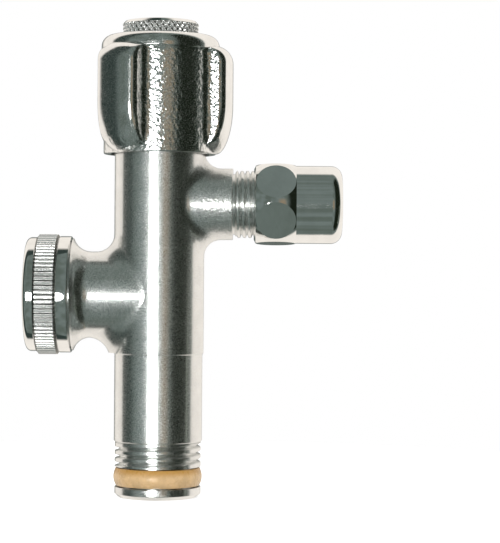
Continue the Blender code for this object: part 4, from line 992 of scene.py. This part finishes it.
def cap():
    low, high = CAP_KNURL
    foot = [
        (CAP_BORE_RADIUS, CAP_ROOF, 0),
        (CAP_BORE_RADIUS, CAP_BOTTOM, 0.1),
        (CAP_FOOT_RADIUS, CAP_BOTTOM, 0.1),
        (CAP_RADIUS, low, 0),
    ]
    top = [(CAP_RADIUS, high, 0), (CAP_TOP_RADIUS, CAP_TOP, 0.25), (0, CAP_TOP, 0)]
    outline = [(0, CAP_ROOF)] + rounded(foot, 3)
    outline += fine([(CAP_RADIUS, low), (CAP_RADIUS, high)], CAP_KNURL_STEP)[1:]
    outline += rounded(top)[1:]
    shape = spun(outline, DIAMOND_STEPS * CAP_DIAMONDS)

    def depth_at(turn, z, r):
        across = turn * CAP_DIAMONDS
        rise = (z - low) / CAP_KNURL_PITCH
        return wave(across + rise, CAP_GROOVE) + wave(across - rise, CAP_CROSS_GROOVE)

    # Faces deep in the grooves take the painted shade
    knurl(shape, CAP_KNURL, CAP_RADIUS - CAP_KNURL_SKIN, CAP_RADIUS - CAP_GROOVE, depth_at)
    item = piece("knurled_cap", shape, materials=(CHROME, KNURLED_CHROME, GROOVE_SHADE_CHROME))
    put(smoothed(item, 20), "cap_group", "breaker_cap")


# Finishes of the pieces that stay as they are


def dress_inner_pieces():
    finishes = {
        "brass": BRASS,
        "spring_steel": STEEL,
        "black_rubber": RUBBER,
        "brown_seal": INNER_SEAL,
        "white_plastic": PLASTIC,
        "chrome": CHROME,
    }
    for part in frame["record"]["subparts"]:
        item = bpy.data.objects.get(part["node"])
        if item:
            item.data.materials.clear()
            item.data.materials.append(finishes[part["material_slot"]])


# Floor, surroundings, lamps and camera; lengths are in metres

FLOOR_RADIUS = 0.16
FLOOR_GREY = 0.8
FLOOR_GLOW = 0.6

# Patches of the room, in degrees: left, right, low and high edge, and softness
DARK_CORNER = (34, 90, -70, 70, 8)
WARM_PATCH = (9, 26, -13, 12, 6)
LIGHT_LINE = (81, 84, -40, -1, 1.5)

# The window, in degrees: its middle, sideways and upward, and half its width and height
WINDOW_MIDDLE = (-12.5, -4.3)
WINDOW_HALF = (12, 7.8)
WINDOW_LIGHT = 12.0

# The paper, in degrees: how far its middle is turned, where it starts, and the patch right behind the valve
# where it is painted in the valve's shade
PAPER_TURN = radians(-4)
PAPER_EDGE = (97, 106)
SHADED_PAPER_TURN = radians(8)
SHADED_PAPER_EDGE = (12, 30)
PAPER_COLOUR = colour(256, 249, 241)
SHADED_PAPER_COLOUR = colour(96, 104, 100)

LEFT_EDGE = (-76, -60)
LEFT_COLOUR = colour(56, 66, 63)
ROOM_COLOURS = (colour(96, 106, 100), colour(116, 127, 124))
WHITE = (1, 1, 1, 1)
BLACK = (0, 0, 0, 1)
PLAIN_LIGHT = (0.72, 0.72, 0.71, 1)

LAMP_SIZE = 0.4
LAMP_AIM = Vector((0, 0, 0.06))
CAMERA_PLACE = (0.02215, -0.4874, 0.05498)
CAMERA_ROLL = radians(0.43)
SENSOR_HEIGHT = 24
PICTURE_HEIGHT = 132.3
PICTURE_DISTANCE = 487.4


def floor():
    shape = bmesh.new()
    bmesh.ops.create_circle(shape, cap_ends=True, segments=96, radius=FLOOR_RADIUS)
    item = linked("floor", shape)
    material = bpy.data.materials.new("pale_floor")
    shader = Shader(material)
    seen = shader.ray("Is Camera Ray") + shader.ray("Is Glossy Ray")
    shader.feed("Base Color", (FLOOR_GREY,) * 3 + (1,))
    shader.feed("Roughness", 0.9)
    shader.feed("Specular IOR Level", 0.0)
    shader.feed("Emission Color", shader.mix(seen, BLACK, WHITE))
    shader.feed("Emission Strength", FLOOR_GLOW)
    item.data.materials.append(material)
    item.visible_glossy = False


def surroundings():
    """White paper behind the valve; before it a grey room with a bright window and a dark corner."""
    world = bpy.data.worlds.new("studio")
    bpy.context.scene.world = world
    shader = Shader(world)
    direction = shader.place(GENERATED)
    x, y, z = shader.parts(direction)

    def angle(operation, *values):
        return shader.node("ShaderNodeMath", dict(operation=operation), *values) * (180 / pi)

    def patch(left, right, low, high, soft):
        """A soft rectangle, by degrees sideways and upward as seen from the valve."""
        across = side.ramp(left - soft, left + soft) * (1 - side.ramp(right - soft, right + soft))
        return across * lift.ramp(low - soft, low + soft) * (1 - lift.ramp(high - soft, high + soft))

    side = angle("ARCTAN2", x, 0 - y)
    lift = angle("ARCSINE", z)
    away = angle("ARCCOSINE", x * sin(PAPER_TURN) - y * cos(PAPER_TURN))
    behind = angle("ARCCOSINE", x * -sin(SHADED_PAPER_TURN) + y * cos(SHADED_PAPER_TURN))
    cloud = shader.node("ShaderNodeTexNoise", {}, Vector=direction, Scale=4.0, Detail=3.0)
    room = shader.mix(cloud.ramp(0.35, 0.65), *ROOM_COLOURS)
    room = shader.mix(side.ramp(*LEFT_EDGE), LEFT_COLOUR, room)
    room = shader.mix(patch(*DARK_CORNER), room, colour(30, 36, 28))
    room = shader.mix(patch(*WARM_PATCH), room, colour(146, 132, 112))
    room = shader.mix(patch(*LIGHT_LINE), room, colour(170, 180, 165))
    paper = shader.mix(away.ramp(*PAPER_EDGE), room, PAPER_COLOUR)
    # Painted shade: the paper right behind the valve turns grey, as in the valve's shadow
    paper = shader.mix(behind.ramp(*SHADED_PAPER_EDGE), SHADED_PAPER_COLOUR, paper)
    across = (side - WINDOW_MIDDLE[0]) / WINDOW_HALF[0]
    up = (lift - WINDOW_MIDDLE[1]) / WINDOW_HALF[1]
    window = (WINDOW_LIGHT,) * 3 + (1,)
    glossy = shader.mix((across * across + up * up).ramp(0.8, 1.05), window, paper)
    seen = shader.mix(shader.ray("Is Glossy Ray"), WHITE, glossy)
    shader.feed("Color", shader.mix(shader.ray("Is Diffuse Ray"), seen, PLAIN_LIGHT))
    shader.feed("Strength", 1.0)


def lamp(name, position, power):
    light = bpy.data.lights.new(name, "AREA")
    light.size = LAMP_SIZE
    light.energy = power
    item = bpy.data.objects.new(name, light)
    bpy.context.scene.collection.objects.link(item)
    item.location = position
    item.rotation_euler = (LAMP_AIM - item.location).to_track_quat("-Z", "Y").to_euler()
    item.visible_glossy = False


def camera():
    view = bpy.data.cameras.new("camera")
    view.sensor_fit = "VERTICAL"
    view.sensor_height = SENSOR_HEIGHT
    view.lens = SENSOR_HEIGHT / 2 / (PICTURE_HEIGHT / 2 / PICTURE_DISTANCE)
    view.clip_start = 0.01
    item = bpy.data.objects.new("camera", view)
    bpy.context.scene.collection.objects.link(item)
    item.location = CAMERA_PLACE
    item.rotation_euler = (Matrix.Rotation(pi / 2, 3, "X") @ Matrix.Rotation(CAMERA_ROLL, 3, "Z")).to_euler()
    bpy.context.scene.camera = item


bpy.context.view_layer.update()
casting()
seal_ring()
check_valve_spring()
union_nut()
compression_nut()
handle()
cap()
dress_inner_pieces()
floor()
surroundings()
lamp("key_lamp", (-0.25, -0.5, 0.35), 2.2)
lamp("fill_lamp", (0.45, -0.35, 0.2), 0.9)
camera()
bpy.context.scene.view_settings.view_transform = "Standard"
